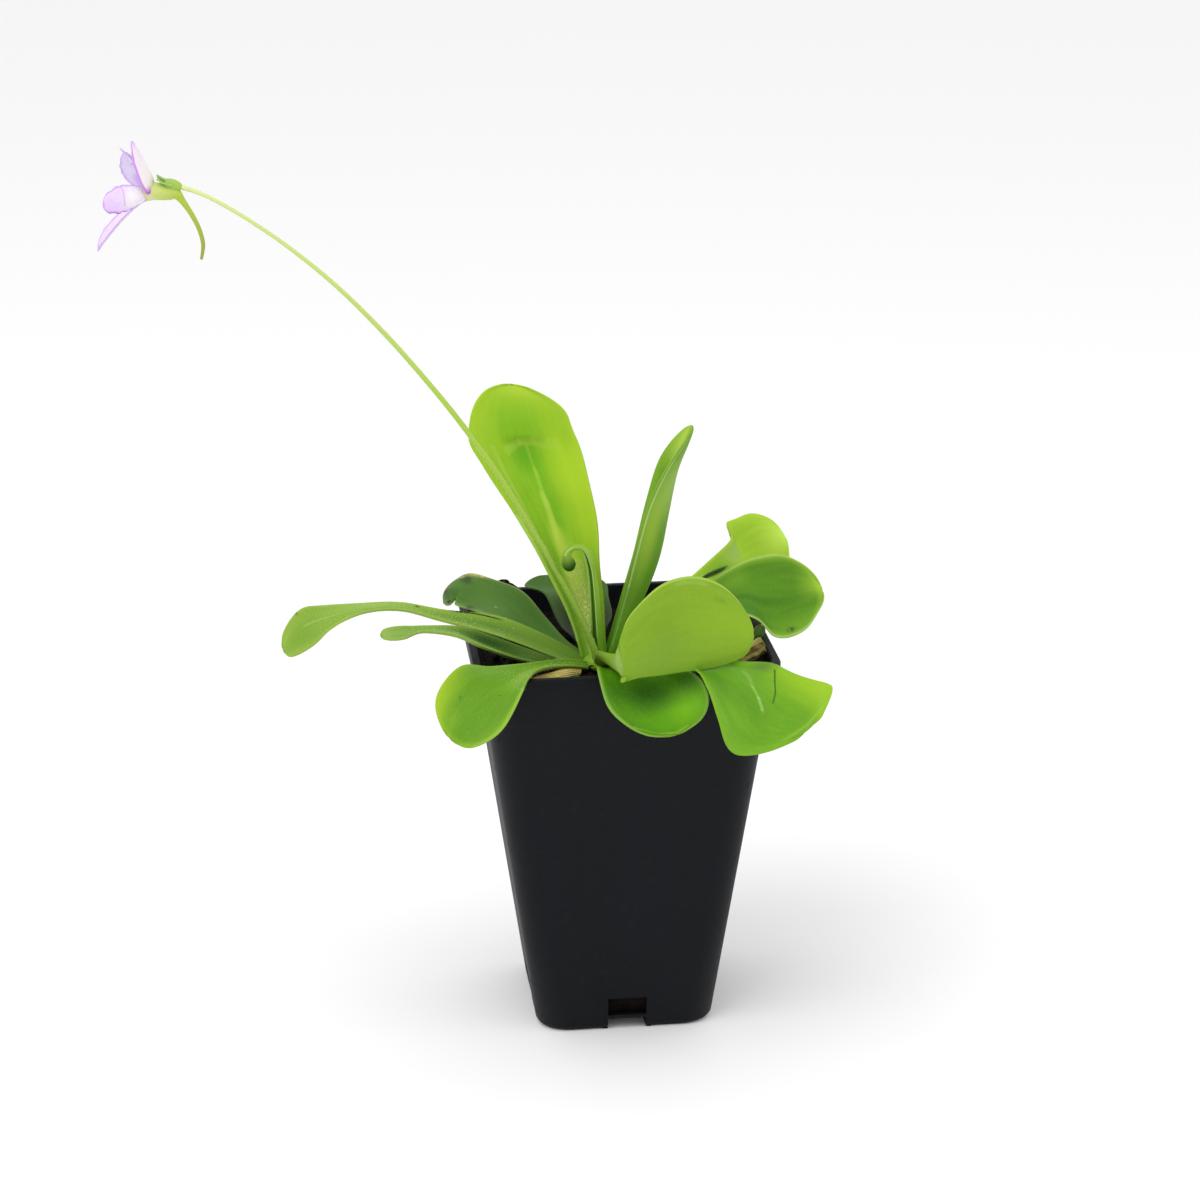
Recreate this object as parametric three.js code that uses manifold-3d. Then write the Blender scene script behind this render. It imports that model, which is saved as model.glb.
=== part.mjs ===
// A butterwort (Pinguicula, Mexican kind) in a square black nursery pot.
//
// A plastic pot holds peat soil. A short crown stands in a plain hole in the soil,
// and every leaf and the flower stalk spring from it. Millimetres, +Z up. The origin
// is the centre of the pot's underside, and the pot's sides face +-X and +-Y.

import * as THREE from 'three';
import { mergeVertices } from 'three/addons/utils/BufferGeometryUtils.js';
import Module from 'manifold-3d';

const wasm = await Module();
wasm.setup();

// ---------------------------------------------------------------- driving dimensions

const CLEARANCE = 0.3; // gap left between neighbouring pieces

const POT = {
  height: 102,
  lipHalf: 38, // outer half width of the lip
  lipHeight: 1.4,
  collarHeight: 12.8, // rim band, lip included
  collarTopHalf: 37.2,
  collarFootHalf: 36.3,
  bodyTopHalf: 35.3, // straight tapered body, just under the collar
  bodyFootHalf: 22.8,
  wall: 1.2,
  floor: 1.4,
  cornerRadius: 7.8,
  cornerSteps: 5,
  footRound: 1.6, // rounding of the underside's edge
  collarBevel: 0.7, // height of the slope between body and collar
  lipRound: 0.3,
};

const DRAIN = {
  width: 10, // each side's drain slot, and the notch in the foot below it
  notchHeight: 3.2,
  notchDepth: 9,
  slotTop: 9.2,
  bridge: 1, // plastic left between notch and slot
};

const SOIL = {
  surface: 95.6, // mean height of the soil surface
  relief: 0.7,
  mound: 0.6, // how much higher it stands round the crown
  rings: 8,
};

const CROWN = { x: -5.5, y: -10.5, foot: 86, top: 99, radius: 3.6, sides: 14 };

const LEAF = { midThickness: 1.3, edgeThickness: 0.65, rows: 15, columns: 6 };
const PETAL = { midThickness: 0.8, edgeThickness: 0.62, rows: 8, columns: 4 };

// ---------------------------------------------------------------- materials

const plastic = new THREE.MeshStandardMaterial({ color: 0x1d1e23, roughness: 0.5, metalness: 0 });
const peat = new THREE.MeshStandardMaterial({ color: 0x2c1a12, roughness: 0.95, metalness: 0 });
const crownGreen = new THREE.MeshStandardMaterial({ color: 0x6f8f32, roughness: 0.6, metalness: 0 });
const leafGreen = new THREE.MeshStandardMaterial({ color: 0x86bd2c, roughness: 0.45, metalness: 0 });
const oldLeafGreen = new THREE.MeshStandardMaterial({ color: 0x557f35, roughness: 0.5, metalness: 0 });
const witheredTan = new THREE.MeshStandardMaterial({ color: 0xa38a4a, roughness: 0.8, metalness: 0 });
const stalkGreen = new THREE.MeshStandardMaterial({ color: 0xa7c25a, roughness: 0.5, metalness: 0 });
const petalViolet = new THREE.MeshStandardMaterial({ color: 0xd9c2f0, roughness: 0.55, metalness: 0 });
const tubeGreen = new THREE.MeshStandardMaterial({ color: 0xb9c95e, roughness: 0.5, metalness: 0 });
const calyxGreen = new THREE.MeshStandardMaterial({ color: 0x8cb83c, roughness: 0.5, metalness: 0 });

// ---------------------------------------------------------------- solids

function geometryFrom(points, triangles) {
  const geometry = new THREE.BufferGeometry();
  const flat = points.flatMap((p) => [p.x, p.y, p.z]);
  geometry.setAttribute('position', new THREE.Float32BufferAttribute(flat, 3));
  geometry.setIndex(triangles.flat());
  return geometry;
}

function toSolid(geometry) {
  const bare = geometry.clone();
  bare.deleteAttribute('normal');
  bare.deleteAttribute('uv');
  const merged = mergeVertices(bare, 1e-5);
  return new wasm.Manifold(new wasm.Mesh({
    numProp: 3,
    vertProperties: new Float32Array(merged.attributes.position.array),
    triVerts: new Uint32Array(merged.index.array),
  }));
}

function fromSolid(solid) {
  const mesh = solid.getMesh();
  const geometry = new THREE.BufferGeometry();
  geometry.setAttribute('position', new THREE.BufferAttribute(mesh.vertProperties, 3));
  geometry.setIndex(new THREE.BufferAttribute(mesh.triVerts, 1));
  return geometry;
}

function box(width, depth, height, x, y, z) {
  const geometry = new THREE.BoxGeometry(width, depth, height);
  geometry.translate(x, y, z);
  return toSolid(geometry);
}

function piece(name, geometry, material) {
  const mesh = new THREE.Mesh(geometry, material);
  mesh.name = name;
  return mesh;
}

// Joins closed rings of points, lowest first and each turning the same way, into one
// solid with a flat or pointed cap at both ends.
function loft(rings) {
  const count = rings[0].length;
  const centre = (ring) => ring.reduce((sum, p) => sum.add(p), new THREE.Vector3()).divideScalar(count);
  const points = rings.flat();
  const triangles = [];
  for (let row = 0; row + 1 < rings.length; row++) {
    for (let i = 0; i < count; i++) {
      const next = (i + 1) % count;
      const a = row * count + i;
      const b = row * count + next;
      triangles.push([a, b, b + count], [a, b + count, a + count]);
    }
  }
  const first = points.push(centre(rings[0])) - 1;
  const last = points.push(centre(rings.at(-1))) - 1;
  const top = (rings.length - 1) * count;
  for (let i = 0; i < count; i++) {
    const next = (i + 1) % count;
    triangles.push([first, next, i], [last, top + i, top + next]);
  }
  return geometryFrom(points, triangles);
}

// One turn round a square with rounded corners, seen from above, counterclockwise.
function roundedSquare(half, radius, z) {
  const ring = [];
  for (let corner = 0; corner < 4; corner++) {
    const start = corner * Math.PI / 2;
    const middle = start + Math.PI / 4;
    const reach = (half - radius) * Math.SQRT2;
    for (let step = 0; step <= POT.cornerSteps; step++) {
      const angle = start + step / POT.cornerSteps * Math.PI / 2;
      ring.push(new THREE.Vector3(
        reach * Math.cos(middle) + radius * Math.cos(angle),
        reach * Math.sin(middle) + radius * Math.sin(angle),
        z,
      ));
    }
  }
  return ring;
}

// ---------------------------------------------------------------- pot and soil

const collarFoot = POT.height - POT.collarHeight;
const lipFoot = POT.height - POT.lipHeight;

// Outer half width of the tapered body at a height.
function bodyHalf(z) {
  return POT.bodyFootHalf + (POT.bodyTopHalf - POT.bodyFootHalf) * Math.min(z / collarFoot, 1);
}

// Half widths of the outside and of the hollow, each with its height.
const outerProfile = [
  [bodyHalf(0) - POT.footRound, 0],
  [bodyHalf(0) - POT.footRound * 0.3, POT.footRound * 0.3],
  [bodyHalf(POT.footRound), POT.footRound],
  [POT.bodyTopHalf, collarFoot],
  [POT.collarFootHalf, collarFoot + POT.collarBevel],
  [POT.collarTopHalf, lipFoot],
  [POT.lipHalf, lipFoot + POT.lipRound],
  [POT.lipHalf, POT.height - POT.lipRound],
  [POT.lipHalf - POT.lipRound, POT.height],
];
const innerProfile = [
  [bodyHalf(POT.floor) - POT.wall, POT.floor],
  [POT.bodyTopHalf - POT.wall, collarFoot - POT.collarBevel],
  [POT.collarFootHalf - POT.wall, collarFoot + POT.collarBevel],
  [POT.collarTopHalf - POT.wall, POT.height + 1],
];

function squareLoft(profile) {
  return toSolid(loft(profile.map(([half, z]) => roundedSquare(half, POT.cornerRadius, z))));
}

// Runs a shape once for each of the pot's four sides.
function onEachSide(makeShape) {
  const front = makeShape();
  return [0, 90, 180, 270].map((turn) => front.rotate([0, 0, turn]));
}

// Each side's foot has a notch under a raised boss of the floor, and a drain slot above it.
const bossTop = DRAIN.notchHeight + DRAIN.bridge;

function makePot() {
  const bossInner = POT.bodyFootHalf - DRAIN.notchDepth - POT.wall;
  const bossOuter = POT.bodyFootHalf - POT.wall / 2;
  const slotHeight = DRAIN.slotTop - bossTop;
  let pot = squareLoft(outerProfile).subtract(squareLoft(innerProfile));
  for (const boss of onEachSide(() => box(
    DRAIN.width + 2 * POT.wall, bossOuter - bossInner, bossTop, 0, -(bossOuter + bossInner) / 2, bossTop / 2,
  ))) pot = pot.add(boss);
  for (const notch of onEachSide(() => box(
    DRAIN.width, DRAIN.notchDepth * 2, DRAIN.notchHeight * 2, 0, -POT.bodyFootHalf, 0,
  ))) pot = pot.subtract(notch);
  for (const slot of onEachSide(() => box(
    DRAIN.width, 6 * POT.wall, slotHeight, 0, -bodyHalf(bossTop), bossTop + slotHeight / 2,
  ))) pot = pot.subtract(slot);
  return piece('pot', fromSolid(pot), plastic);
}

function soilHeight(x, y) {
  const fromCrown = Math.hypot(x - CROWN.x, y - CROWN.y);
  const lumps = Math.sin(x * 0.37 + 1.1) * Math.cos(y * 0.31 - 0.4)
    + 0.6 * Math.sin(x * 0.83 - y * 0.61) + 0.4 * Math.cos(x * 0.52 + y * 0.97);
  return SOIL.surface + SOIL.relief * lumps * 0.5 + SOIL.mound * Math.exp(-((fromCrown / 11) ** 2));
}

// The crown's rings, lowest first, or those of the hole it stands in when grown by the gap.
function crownRings(grow) {
  const profile = [
    [0.55, CROWN.foot], [0.8, CROWN.foot + 3], [1, SOIL.surface - 1], [1, SOIL.surface + 1],
    [0.85, CROWN.top - 0.8], [0.45, CROWN.top],
  ];
  return profile.map(([share, z]) => Array.from({ length: CROWN.sides }, (_, i) => {
    const angle = i / CROWN.sides * Math.PI * 2;
    const radius = CROWN.radius * share + grow;
    return new THREE.Vector3(CROWN.x + radius * Math.cos(angle), CROWN.y + radius * Math.sin(angle), z);
  }));
}

function makeCrown() {
  return piece('crown', loft(crownRings(0)), crownGreen);
}

function makeSoil() {
  const inset = POT.wall + CLEARANCE;
  const surfaceHalf = POT.collarFootHalf - inset + 0.3;
  const sides = [
    [bodyHalf(bossTop) - inset, bossTop + CLEARANCE],
    [POT.bodyTopHalf - inset, collarFoot - POT.collarBevel],
    [POT.collarFootHalf - inset, collarFoot + POT.collarBevel],
  ].map(([half, z]) => roundedSquare(half, POT.cornerRadius, z));
  const surface = [];
  for (let ring = 0; ring < SOIL.rings; ring++) {
    const share = 1 - ring / SOIL.rings;
    surface.push(roundedSquare(surfaceHalf, POT.cornerRadius, 0).map((p) => {
      const x = p.x * share;
      const y = p.y * share;
      return new THREE.Vector3(x, y, soilHeight(x, y));
    }));
  }
  const hole = crownRings(CLEARANCE);
  hole[0].forEach((p) => { p.z -= CLEARANCE; });
  const soil = toSolid(loft([...sides, ...surface])).subtract(toSolid(loft(hole)));
  return piece('soil', fromSolid(soil), peat);
}

// ---------------------------------------------------------------- blades

// Value between the entries of a list, on a smooth curve that runs through them all.
function smooth(list, place) {
  const last = list.length - 1;
  const i = Math.min(Math.floor(place * last), last - 1);
  const t = place * last - i;
  const [a, b, c, d] = [list[Math.max(i - 1, 0)], list[i], list[i + 1], list[Math.min(i + 2, last)]];
  return b + 0.5 * t * (c - a + t * (2 * a - 5 * b + 4 * c - d + t * (3 * (b - c) + d - a)));
}

// A leaf or petal as a thin closed blade. Its ribs run from the base to the tip, and each
// is a bar from margin to margin: [x, y, z of its middle, half width, heading and tilt of
// the bar in degrees, dip]. The blade's upper face lies on the left of the bar's heading
// turned towards the tip, and dip is how far its middle lies below the bar. From roundFrom
// on, the width closes to the tip as a quarter ellipse does, or more squarely where tipPower
// is below 1.
function blade(ribs, size, roundFrom = 0.7, tipPower = 1) {
  const { rows, columns, midThickness, edgeThickness } = size;
  const column = (k) => ribs.map((rib) => rib[k]);
  const [xs, ys, zs, halves, headings, tilts, dips] = [0, 1, 2, 3, 4, 5, 6].map(column);
  const middle = (v) => new THREE.Vector3(smooth(xs, v), smooth(ys, v), smooth(zs, v));
  const roundRows = Math.round(rows * 0.45);
  const stations = Array.from({ length: rows + 1 }, (_, row) => {
    const turn = (row - rows + roundRows) / roundRows * 1.36;
    if (turn <= 0) return [row / (rows - roundRows) * roundFrom, 1];
    return [roundFrom + (1 - roundFrom) * Math.sin(turn), Math.cos(turn) ** tipPower];
  });
  const place = ([v, share], u) => {
    const heading = THREE.MathUtils.degToRad(smooth(headings, v));
    const tilt = THREE.MathUtils.degToRad(smooth(tilts, v));
    const bar = new THREE.Vector3(
      Math.cos(heading) * Math.cos(tilt), Math.sin(heading) * Math.cos(tilt), Math.sin(tilt));
    const along = middle(Math.min(v + 0.02, 1)).sub(middle(Math.max(v - 0.02, 0))).normalize();
    const up = bar.clone().cross(along).normalize();
    const dip = smooth(dips, v) * share * (1 - u * u);
    return middle(v).addScaledVector(bar, smooth(halves, v) * share * u).addScaledVector(up, -dip);
  };
  const across = Array.from({ length: columns + 1 }, (_, j) => 2 * j / columns - 1);
  const grid = stations.map((station) => across.map((u) => place(station, u)));
  const upper = [];
  const lower = [];
  grid.forEach((row, i) => row.forEach((point, j) => {
    const sideways = row[Math.min(j + 1, columns)].clone().sub(row[Math.max(j - 1, 0)]);
    const along = grid[Math.min(i + 1, rows)][j].clone().sub(grid[Math.max(i - 1, 0)][j]);
    const normal = sideways.cross(along).normalize();
    const half = (edgeThickness + (midThickness - edgeThickness) * (1 - across[j] ** 2)) / 2;
    upper.push(point.clone().addScaledVector(normal, half));
    lower.push(point.clone().addScaledVector(normal, -half));
  }));
  const wide = columns + 1;
  const under = upper.length;
  const triangles = [];
  for (let i = 0; i < rows; i++) {
    for (let j = 0; j < columns; j++) {
      const a = i * wide + j;
      const c = a + wide + 1;
      triangles.push([a, a + 1, c], [a, c, c - 1]);
      triangles.push([under + a, under + c, under + a + 1], [under + a, under + c - 1, under + c]);
    }
    const near = i * wide;
    const far = near + columns;
    triangles.push([under + far, under + far + wide, far + wide], [under + far, far + wide, far]);
    triangles.push([under + near, near + wide, under + near + wide], [under + near, near, near + wide]);
  }
  const end = rows * wide;
  for (let j = 0; j < columns; j++) {
    const tip = end + j;
    triangles.push([under + tip, tip, tip + 1], [under + tip, tip + 1, under + tip + 1]);
    triangles.push([under + j, j + 1, j], [under + j, under + j + 1, j + 1]);
  }
  return geometryFrom([...upper, ...lower], triangles);
}

// A round stalk through stations [x, y, z, radius].
function stalk(stations, steps, sides) {
  const [xs, ys, zs, radii] = [0, 1, 2, 3].map((k) => stations.map((s) => s[k]));
  const middle = (v) => new THREE.Vector3(smooth(xs, v), smooth(ys, v), smooth(zs, v));
  let side = null;
  const rings = [];
  for (let step = 0; step <= steps; step++) {
    const v = step / steps;
    const along = middle(Math.min(v + 0.01, 1)).sub(middle(Math.max(v - 0.01, 0))).normalize();
    side = side ?? new THREE.Vector3(0, 1, 0.02).cross(along);
    side = side.addScaledVector(along, -side.dot(along)).normalize();
    const other = along.clone().cross(side);
    rings.push(Array.from({ length: sides }, (_, i) => {
      const angle = i / sides * Math.PI * 2;
      return middle(v)
        .addScaledVector(side, smooth(radii, v) * Math.cos(angle))
        .addScaledVector(other, smooth(radii, v) * Math.sin(angle));
    }));
  }
  return loft(rings);
}

// ---------------------------------------------------------------- leaves

// Every leaf's ribs: [x, y, z, half width, heading, tilt, dip].
const LEAVES = {
  leaf_tall: { ribs: [
    [-6.0, -7.9, 99.3, 1.4, 0, 0, 0.8],
    [-7.7, -6.5, 107.7, 4.6, 0, 8, 2.6],
    [-10.4, -5.0, 118.3, 6.6, 0, 3, 2.8],
    [-14.4, -2.5, 132.1, 9.9, 0, 0, 2.6],
    [-20.1, 0.0, 146.6, 12.8, 0, 0, 2.0],
    [-23.6, 1.0, 157.5, 13.1, 0, -4, 1.0],
    [-24.5, 1.0, 166.6, 12.6, 0, -10, 0.4],
  ], roundFrom: 0.72, material: leafGreen },
  leaf_furled: { ribs: [
    [-5.3, -11.2, 100.6, 1.0, -70, 0, 0.5],
    [-5.8, -10.8, 110.4, 1.2, -70, 0, 0.7],
    [-6.4, -10.6, 119.0, 1.2, -75, 0, 0.8],
    [-7.6, -10.6, 124.6, 1.2, -80, 0, 0.7],
    [-9.8, -10.6, 127.6, 1.1, -90, 0, 0.5],
    [-12.4, -10.6, 126.4, 1.2, -90, 0, 0.4],
    [-12.8, -10.6, 123.4, 1.7, -90, 0, 0.3],
    [-10.8, -10.6, 122.4, 1.6, -90, 0, 0.2],
  ], roundFrom: 0.9, material: leafGreen },
  leaf_narrow: { ribs: [
    [-2.6, -7.4, 100.0, 1.4, -86, 5, 1.5],
    [0.3, -5.5, 107.7, 3.2, -92, 10, 4.2],
    [4.6, -5.0, 123.3, 4.3, -97, 12, 6.0],
    [8.2, -5.0, 136.6, 4.2, -93, 8, 5.3],
    [12.8, -4.5, 147.2, 3.8, -80, 0, 3.5],
    [19.4, -4.0, 155.7, 2.7, -73, 0, 0.9],
  ], roundFrom: 0.86, material: leafGreen },
  leaf_left_long: { ribs: [
    [-9.9, -11.0, 97.6, 1.5, 75, 8, 0.5],
    [-16.8, -9.5, 100.4, 3.1, 70, 18, 0.9],
    [-30.7, -8.8, 106.7, 3.9, 70, 17, 1.0],
    [-44.7, -7.9, 110.0, 2.6, 74, 11, 0.6],
    [-54.5, -6.8, 112.4, 1.9, 85, 11, 0.4],
    [-63.6, -5.9, 112.1, 2.2, 88, 14, 0.4],
    [-73.0, -5.4, 109.8, 4.0, 106, 30, 0.5],
    [-78.9, -5.9, 107.1, 5.3, 118, 51, 0.4],
    [-84.5, -6.6, 102.4, 5.3, 120, 55, 0.2],
  ], roundFrom: 0.8, tipPower: 0.9, material: leafGreen },
  leaf_left_small: { ribs: [
    [-10.6, -14.0, 97.4, 1.1, 60, 5, 0.4],
    [-17.0, -16.0, 98.8, 2.2, 62, 5, 0.8],
    [-25.3, -16.5, 101.7, 3.4, 62, 4, 1.2],
    [-34.1, -16.5, 105.4, 3.5, 70, 5, 1.2],
    [-41.4, -15.9, 108.2, 3.1, 79, 1, 0.7],
    [-49.6, -15.4, 109.0, 2.0, 84, 1, 0.3],
    [-54.7, -15.0, 108.0, 3.3, 87, 10, 0.2],
    [-60.2, -14.8, 107.7, 3.3, 95, 20, 0.1],
  ], roundFrom: 0.84, material: leafGreen },
  leaf_left_broad: { ribs: [
    [-9.0, -7.4, 98.0, 1.3, 60, 5, 0.5],
    [-14.2, -4.4, 99.3, 3.6, 60, 3, 1.0],
    [-20.2, -0.5, 102.3, 6.7, 62, 9, 1.6],
    [-26.7, 3.8, 107.6, 8.7, 62, 10, 1.2],
    [-34.0, 6.7, 110.3, 8.4, 65, 11, 0.2],
    [-38.9, 8.2, 111.5, 8.5, 70, 14, -1.2],
    [-42.5, 8.9, 109.4, 8.2, 74, 15, -1.6],
  ], roundFrom: 0.66, material: oldLeafGreen },
  leaf_back: { ribs: [
    [-5.6, -5.4, 98.4, 1.4, 0, 0, 0.5],
    [-6.6, 0.6, 100.4, 4.8, 0, 5, 1.4],
    [-6.4, 8.5, 101.2, 7.0, 0, 7, 1.8],
    [-7.9, 18.2, 105.1, 8.5, 0, -4, 1.4],
    [-10.3, 25.3, 106.1, 11.6, 0, 2, 0.8],
    [-11.6, 30.8, 107.0, 10.5, 0, 2, 0.2],
  ], roundFrom: 0.62, material: oldLeafGreen },
  leaf_front_left: { ribs: [
    [-8.8, -14.2, 97.9, 1.2, 75, 5, 0.4],
    [-15.0, -20.5, 100.2, 2.4, 84, 4, 0.8],
    [-24.2, -32.1, 103.2, 2.7, 104, 5, 0.8],
    [-31.0, -41.1, 103.7, 6.2, 126, 17, 0.8],
    [-36.9, -45.1, 101.5, 9.1, 138, 38, 1.0],
    [-42.6, -48.1, 96.6, 9.7, 146, 35, 0.6],
    [-45.8, -49.5, 92.5, 8.9, 150, 41, 0.2],
  ], roundFrom: 0.66, material: leafGreen },
  leaf_right_round: { ribs: [
    [-4.4, -15.2, 99.2, 1.2, 190, 20, 0.3],
    [-5.6, -30.8, 104.4, 2.3, 180, 35, 0.6],
    [-3.7, -44.7, 107.4, 2.4, 150, 64, 0.8],
    [-3.4, -46.1, 109.7, 6.1, 110, 84, 0.6],
    [0.2, -46.0, 113.1, 8.3, 96, 77, 0.6],
    [6.3, -45.1, 115.7, 10.7, 96, 78, 0.6],
    [13.6, -43.3, 116.6, 11.4, 96, 75, 0.6],
    [22.2, -41.9, 115.5, 11.0, 96, 75, 0.4],
    [29.4, -40.8, 112.9, 10.2, 95, 71, 0.2],
  ], roundFrom: 0.75, material: leafGreen },
  leaf_front: { ribs: [
    [-4.6, -16.0, 97.2, 1.2, 180, -5, 0.3],
    [-3.2, -27.0, 100.6, 4.0, 182, -5, 1.0],
    [-0.5, -38.2, 103.8, 8.3, 186, 0, 0.7],
    [3.3, -44.3, 101.3, 11.8, 190, -10, 2.4],
    [6.5, -48.4, 96.2, 13.4, 190, -8, 2.4],
    [9.6, -49.1, 90.5, 12.2, 188, -13, 1.2],
  ], roundFrom: 0.58, material: leafGreen },
  leaf_right_front: { ribs: [
    [-2.0, -14.2, 97.6, 1.2, -122, 0, 0.3],
    [6.1, -23.9, 101.1, 3.4, -105, 0, 0.8],
    [15.1, -36.9, 105.1, 6.0, -112, 2, 0.6],
    [22.5, -44.9, 104.4, 10.4, -130, -7, 0.6],
    [28.7, -48.9, 99.1, 12.9, -146, -12, 0.6],
    [35.0, -51.3, 93.5, 15.3, -155, -22, 0.2],
    [41.3, -51.9, 91.3, 8.4, -158, -33, -0.6],
  ], roundFrom: 0.84, tipPower: 0.7, material: leafGreen },
  leaf_right_middle: { ribs: [
    [-0.7, -9.2, 98.0, 1.3, -85, 0, 0.4],
    [11.0, -3.0, 101.8, 4.2, -89, -8, 1.2],
    [24.0, 2.5, 106.7, 7.0, -87, -12, 1.6],
    [34.0, 2.9, 109.3, 9.8, -84, -22, 1.4],
    [40.7, 3.8, 107.2, 12.4, -89, -39, 1.0],
    [48.7, 5.4, 107.0, 13.8, -88, -30, 0.4],
    [55.4, 6.0, 107.6, 11.2, -86, -27, 0.0],
  ], roundFrom: 0.7, material: leafGreen },
  leaf_right_back: { ribs: [
    [-2.2, -6.6, 98.4, 1.2, -50, 0, 0.4],
    [12.4, 8.0, 102.8, 2.8, -58, -6, 0.8],
    [26.5, 20.5, 106.9, 4.1, -58, -12, 1.0],
    [36.2, 26.4, 109.8, 5.8, -53, -48, 1.0],
    [39.4, 28.9, 110.8, 9.2, -44, -44, 0.8],
    [45.2, 31.0, 113.8, 9.8, -42, -47, 0.2],
    [49.1, 31.9, 115.5, 8.1, -60, -41, -0.4],
  ], roundFrom: 0.7, tipPower: 0.9, material: leafGreen },
};

function makeLeaves() {
  return Object.entries(LEAVES).map(([name, leaf]) => (
    piece(name, blade(leaf.ribs, LEAF, leaf.roundFrom, leaf.tipPower), leaf.material)
  ));
}

// ---------------------------------------------------------------- withered leaves

const DRY_ROLL = [
  [4.4, -16.0, 97.4, 0.8], [14.0, -17.4, 97.6, 1.2], [24.0, -19.2, 98.2, 1.5],
  [30.0, -20.2, 99.8, 2.0], [33.8, -20.8, 102.5, 1.8],
];
const DYING_STRIP = [
  [14.0, -9.4, 96.3, 1.4, 90, 0, 0.2],
  [24.0, -12.4, 98.0, 2.0, 90, 6, 0.5],
  [31.6, -14.2, 99.8, 2.6, 95, 12, 0.8],
  [35.6, -13.4, 104.2, 2.4, 105, 20, 0.6],
];
const DRY_SCRAP = [
  [-11.6, -21.2, 97.3, 1.8, 60, 15, -0.4],
  [-15.8, -26.4, 98.2, 2.6, 70, 25, -0.8],
  [-20.2, -30.8, 98.9, 3.0, 80, 24, -0.6],
  [-24.6, -33.8, 100.5, 1.7, 90, 22, -0.2],
];

function makeWitheredLeaves() {
  const small = { ...LEAF, rows: 8, columns: 4, midThickness: 0.8 };
  return [
    piece('dry_leaf_rolled', stalk(DRY_ROLL, 12, 8), witheredTan),
    piece('dry_leaf_strip', blade(DYING_STRIP, small), witheredTan),
    piece('dry_leaf_scrap', blade(DRY_SCRAP, small), witheredTan),
  ];
}

// ---------------------------------------------------------------- flower

const SCAPE = [
  [-6.4, -13.2, 99.6, 0.95], [-8.9, -12.0, 106.9, 0.85], [-13.6, -10.4, 117.1, 0.75],
  [-19.6, -8.4, 128.4, 0.75], [-28.2, -5.8, 143.6, 0.75], [-37.2, -4.2, 157.0, 0.7],
  [-45.7, -3.2, 168.4, 0.65], [-56.4, -2.2, 181.4, 0.6], [-68.2, -1.2, 193.9, 0.55],
  [-80.0, -0.4, 204.1, 0.5], [-90.6, -0.2, 211.8, 0.5], [-98.7, 0.0, 216.6, 0.5],
  [-103.9, 0.0, 218.6, 0.55],
];
const TUBE = [
  [-110.9, 0, 218.1, 2.1], [-109.6, 0, 217.9, 2.1], [-107.2, 0, 217.6, 1.9], [-105.4, 0, 217.0, 1.3],
  [-104.0, 0, 215.2, 0.8], [-102.0, 0, 211.9, 0.62], [-100.4, 0, 208.2, 0.55],
  [-99.7, 0, 204.5, 0.5], [-100.3, 0, 201.0, 0.4],
];
const THROAT = [[-111.8, 0, 218.0, 2.0], [-113.2, 0, 217.8, 1.6]];

// Ribs of the five lobes, as for a leaf, with the upper face towards the open flower.
const LOBES = {
  upperNear: [
    [-112.6, -0.9, 218.8, 1.5, -121, -14, 0.2], [-113.0, -1.6, 222.0, 2.5, -121, -14, 0.5],
    [-114.0, -2.2, 226.0, 2.5, -121, -14, 0.4], [-115.0, -2.6, 230.2, 1.9, -121, -14, 0.2],
  ],
  upperFar: [
    [-112.9, 0.9, 218.6, 1.7, -55, 17, 0.2], [-115.1, 1.4, 221.2, 3.3, -50, 17, 0.5],
    [-116.6, 1.9, 224.2, 3.2, -48, 17, 0.4], [-117.6, 2.3, 228.0, 2.2, -50, 17, 0.2],
  ],
  sideNear: [
    [-112.9, -1.0, 217.7, 1.4, 0, -86, 0.2], [-115.6, -3.2, 217.5, 2.6, 0, -86, 0.6],
    [-119.0, -5.4, 217.1, 3.2, 0, -86, 0.6], [-122.8, -7.8, 216.4, 3.0, 0, -86, 0.3],
  ],
  sideFar: [
    [-112.9, 1.0, 217.4, 1.4, 135, 84, 0.2], [-115.2, 3.4, 216.6, 2.4, 135, 84, 0.6],
    [-118.2, 6.2, 215.6, 3.0, 135, 84, 0.6], [-121.2, 9.2, 214.8, 2.8, 135, 84, 0.3],
  ],
  lower: [
    [-113.0, 0, 216.7, 1.4, 90, 10, 0.2], [-116.4, 0, 213.8, 2.6, 90, 10, 0.6],
    [-120.4, 0, 210.4, 3.4, 90, 12, 0.7], [-123.6, 0, 207.0, 3.4, 90, 12, 0.5],
    [-125.6, 0, 203.8, 3.0, 90, 12, 0.3],
  ],
};

function makePetals() {
  let flower = toSolid(stalk(THROAT, 2, 12));
  for (const ribs of Object.values(LOBES)) flower = flower.add(toSolid(blade(ribs, PETAL, 0.6)));
  return piece('flower_petals', fromSolid(flower), petalViolet);
}

function makeCalyx() {
  const cup = new THREE.SphereGeometry(1, 12, 8);
  cup.scale(2.2, 1.9, 1.5);
  cup.rotateY(0.25);
  cup.translate(-106.6, 0, 218.9);
  const sepal = (y, lift) => [
    [-106.4, y * 0.5, 219.4 + lift, 1.0, 90, 0, -0.2], [-108.0, y, 220.2 + lift, 0.9, 90, 0, -0.1],
    [-109.8, y * 1.2, 221.4 + lift, 0.4, 90, 0, 0],
  ];
  let calyx = toSolid(cup);
  for (const [y, lift] of [[0, 0.4], [-1.6, -0.4], [1.6, -0.4]]) {
    calyx = calyx.add(toSolid(blade(sepal(y, lift), { ...PETAL, rows: 5, columns: 2 }, 0.5)));
  }
  const clearTube = TUBE.map(([x, y, z, radius]) => [x, y, z, radius + CLEARANCE]);
  return piece('flower_calyx', fromSolid(calyx.subtract(toSolid(stalk(clearTube, 24, 12)))), calyxGreen);
}

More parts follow.
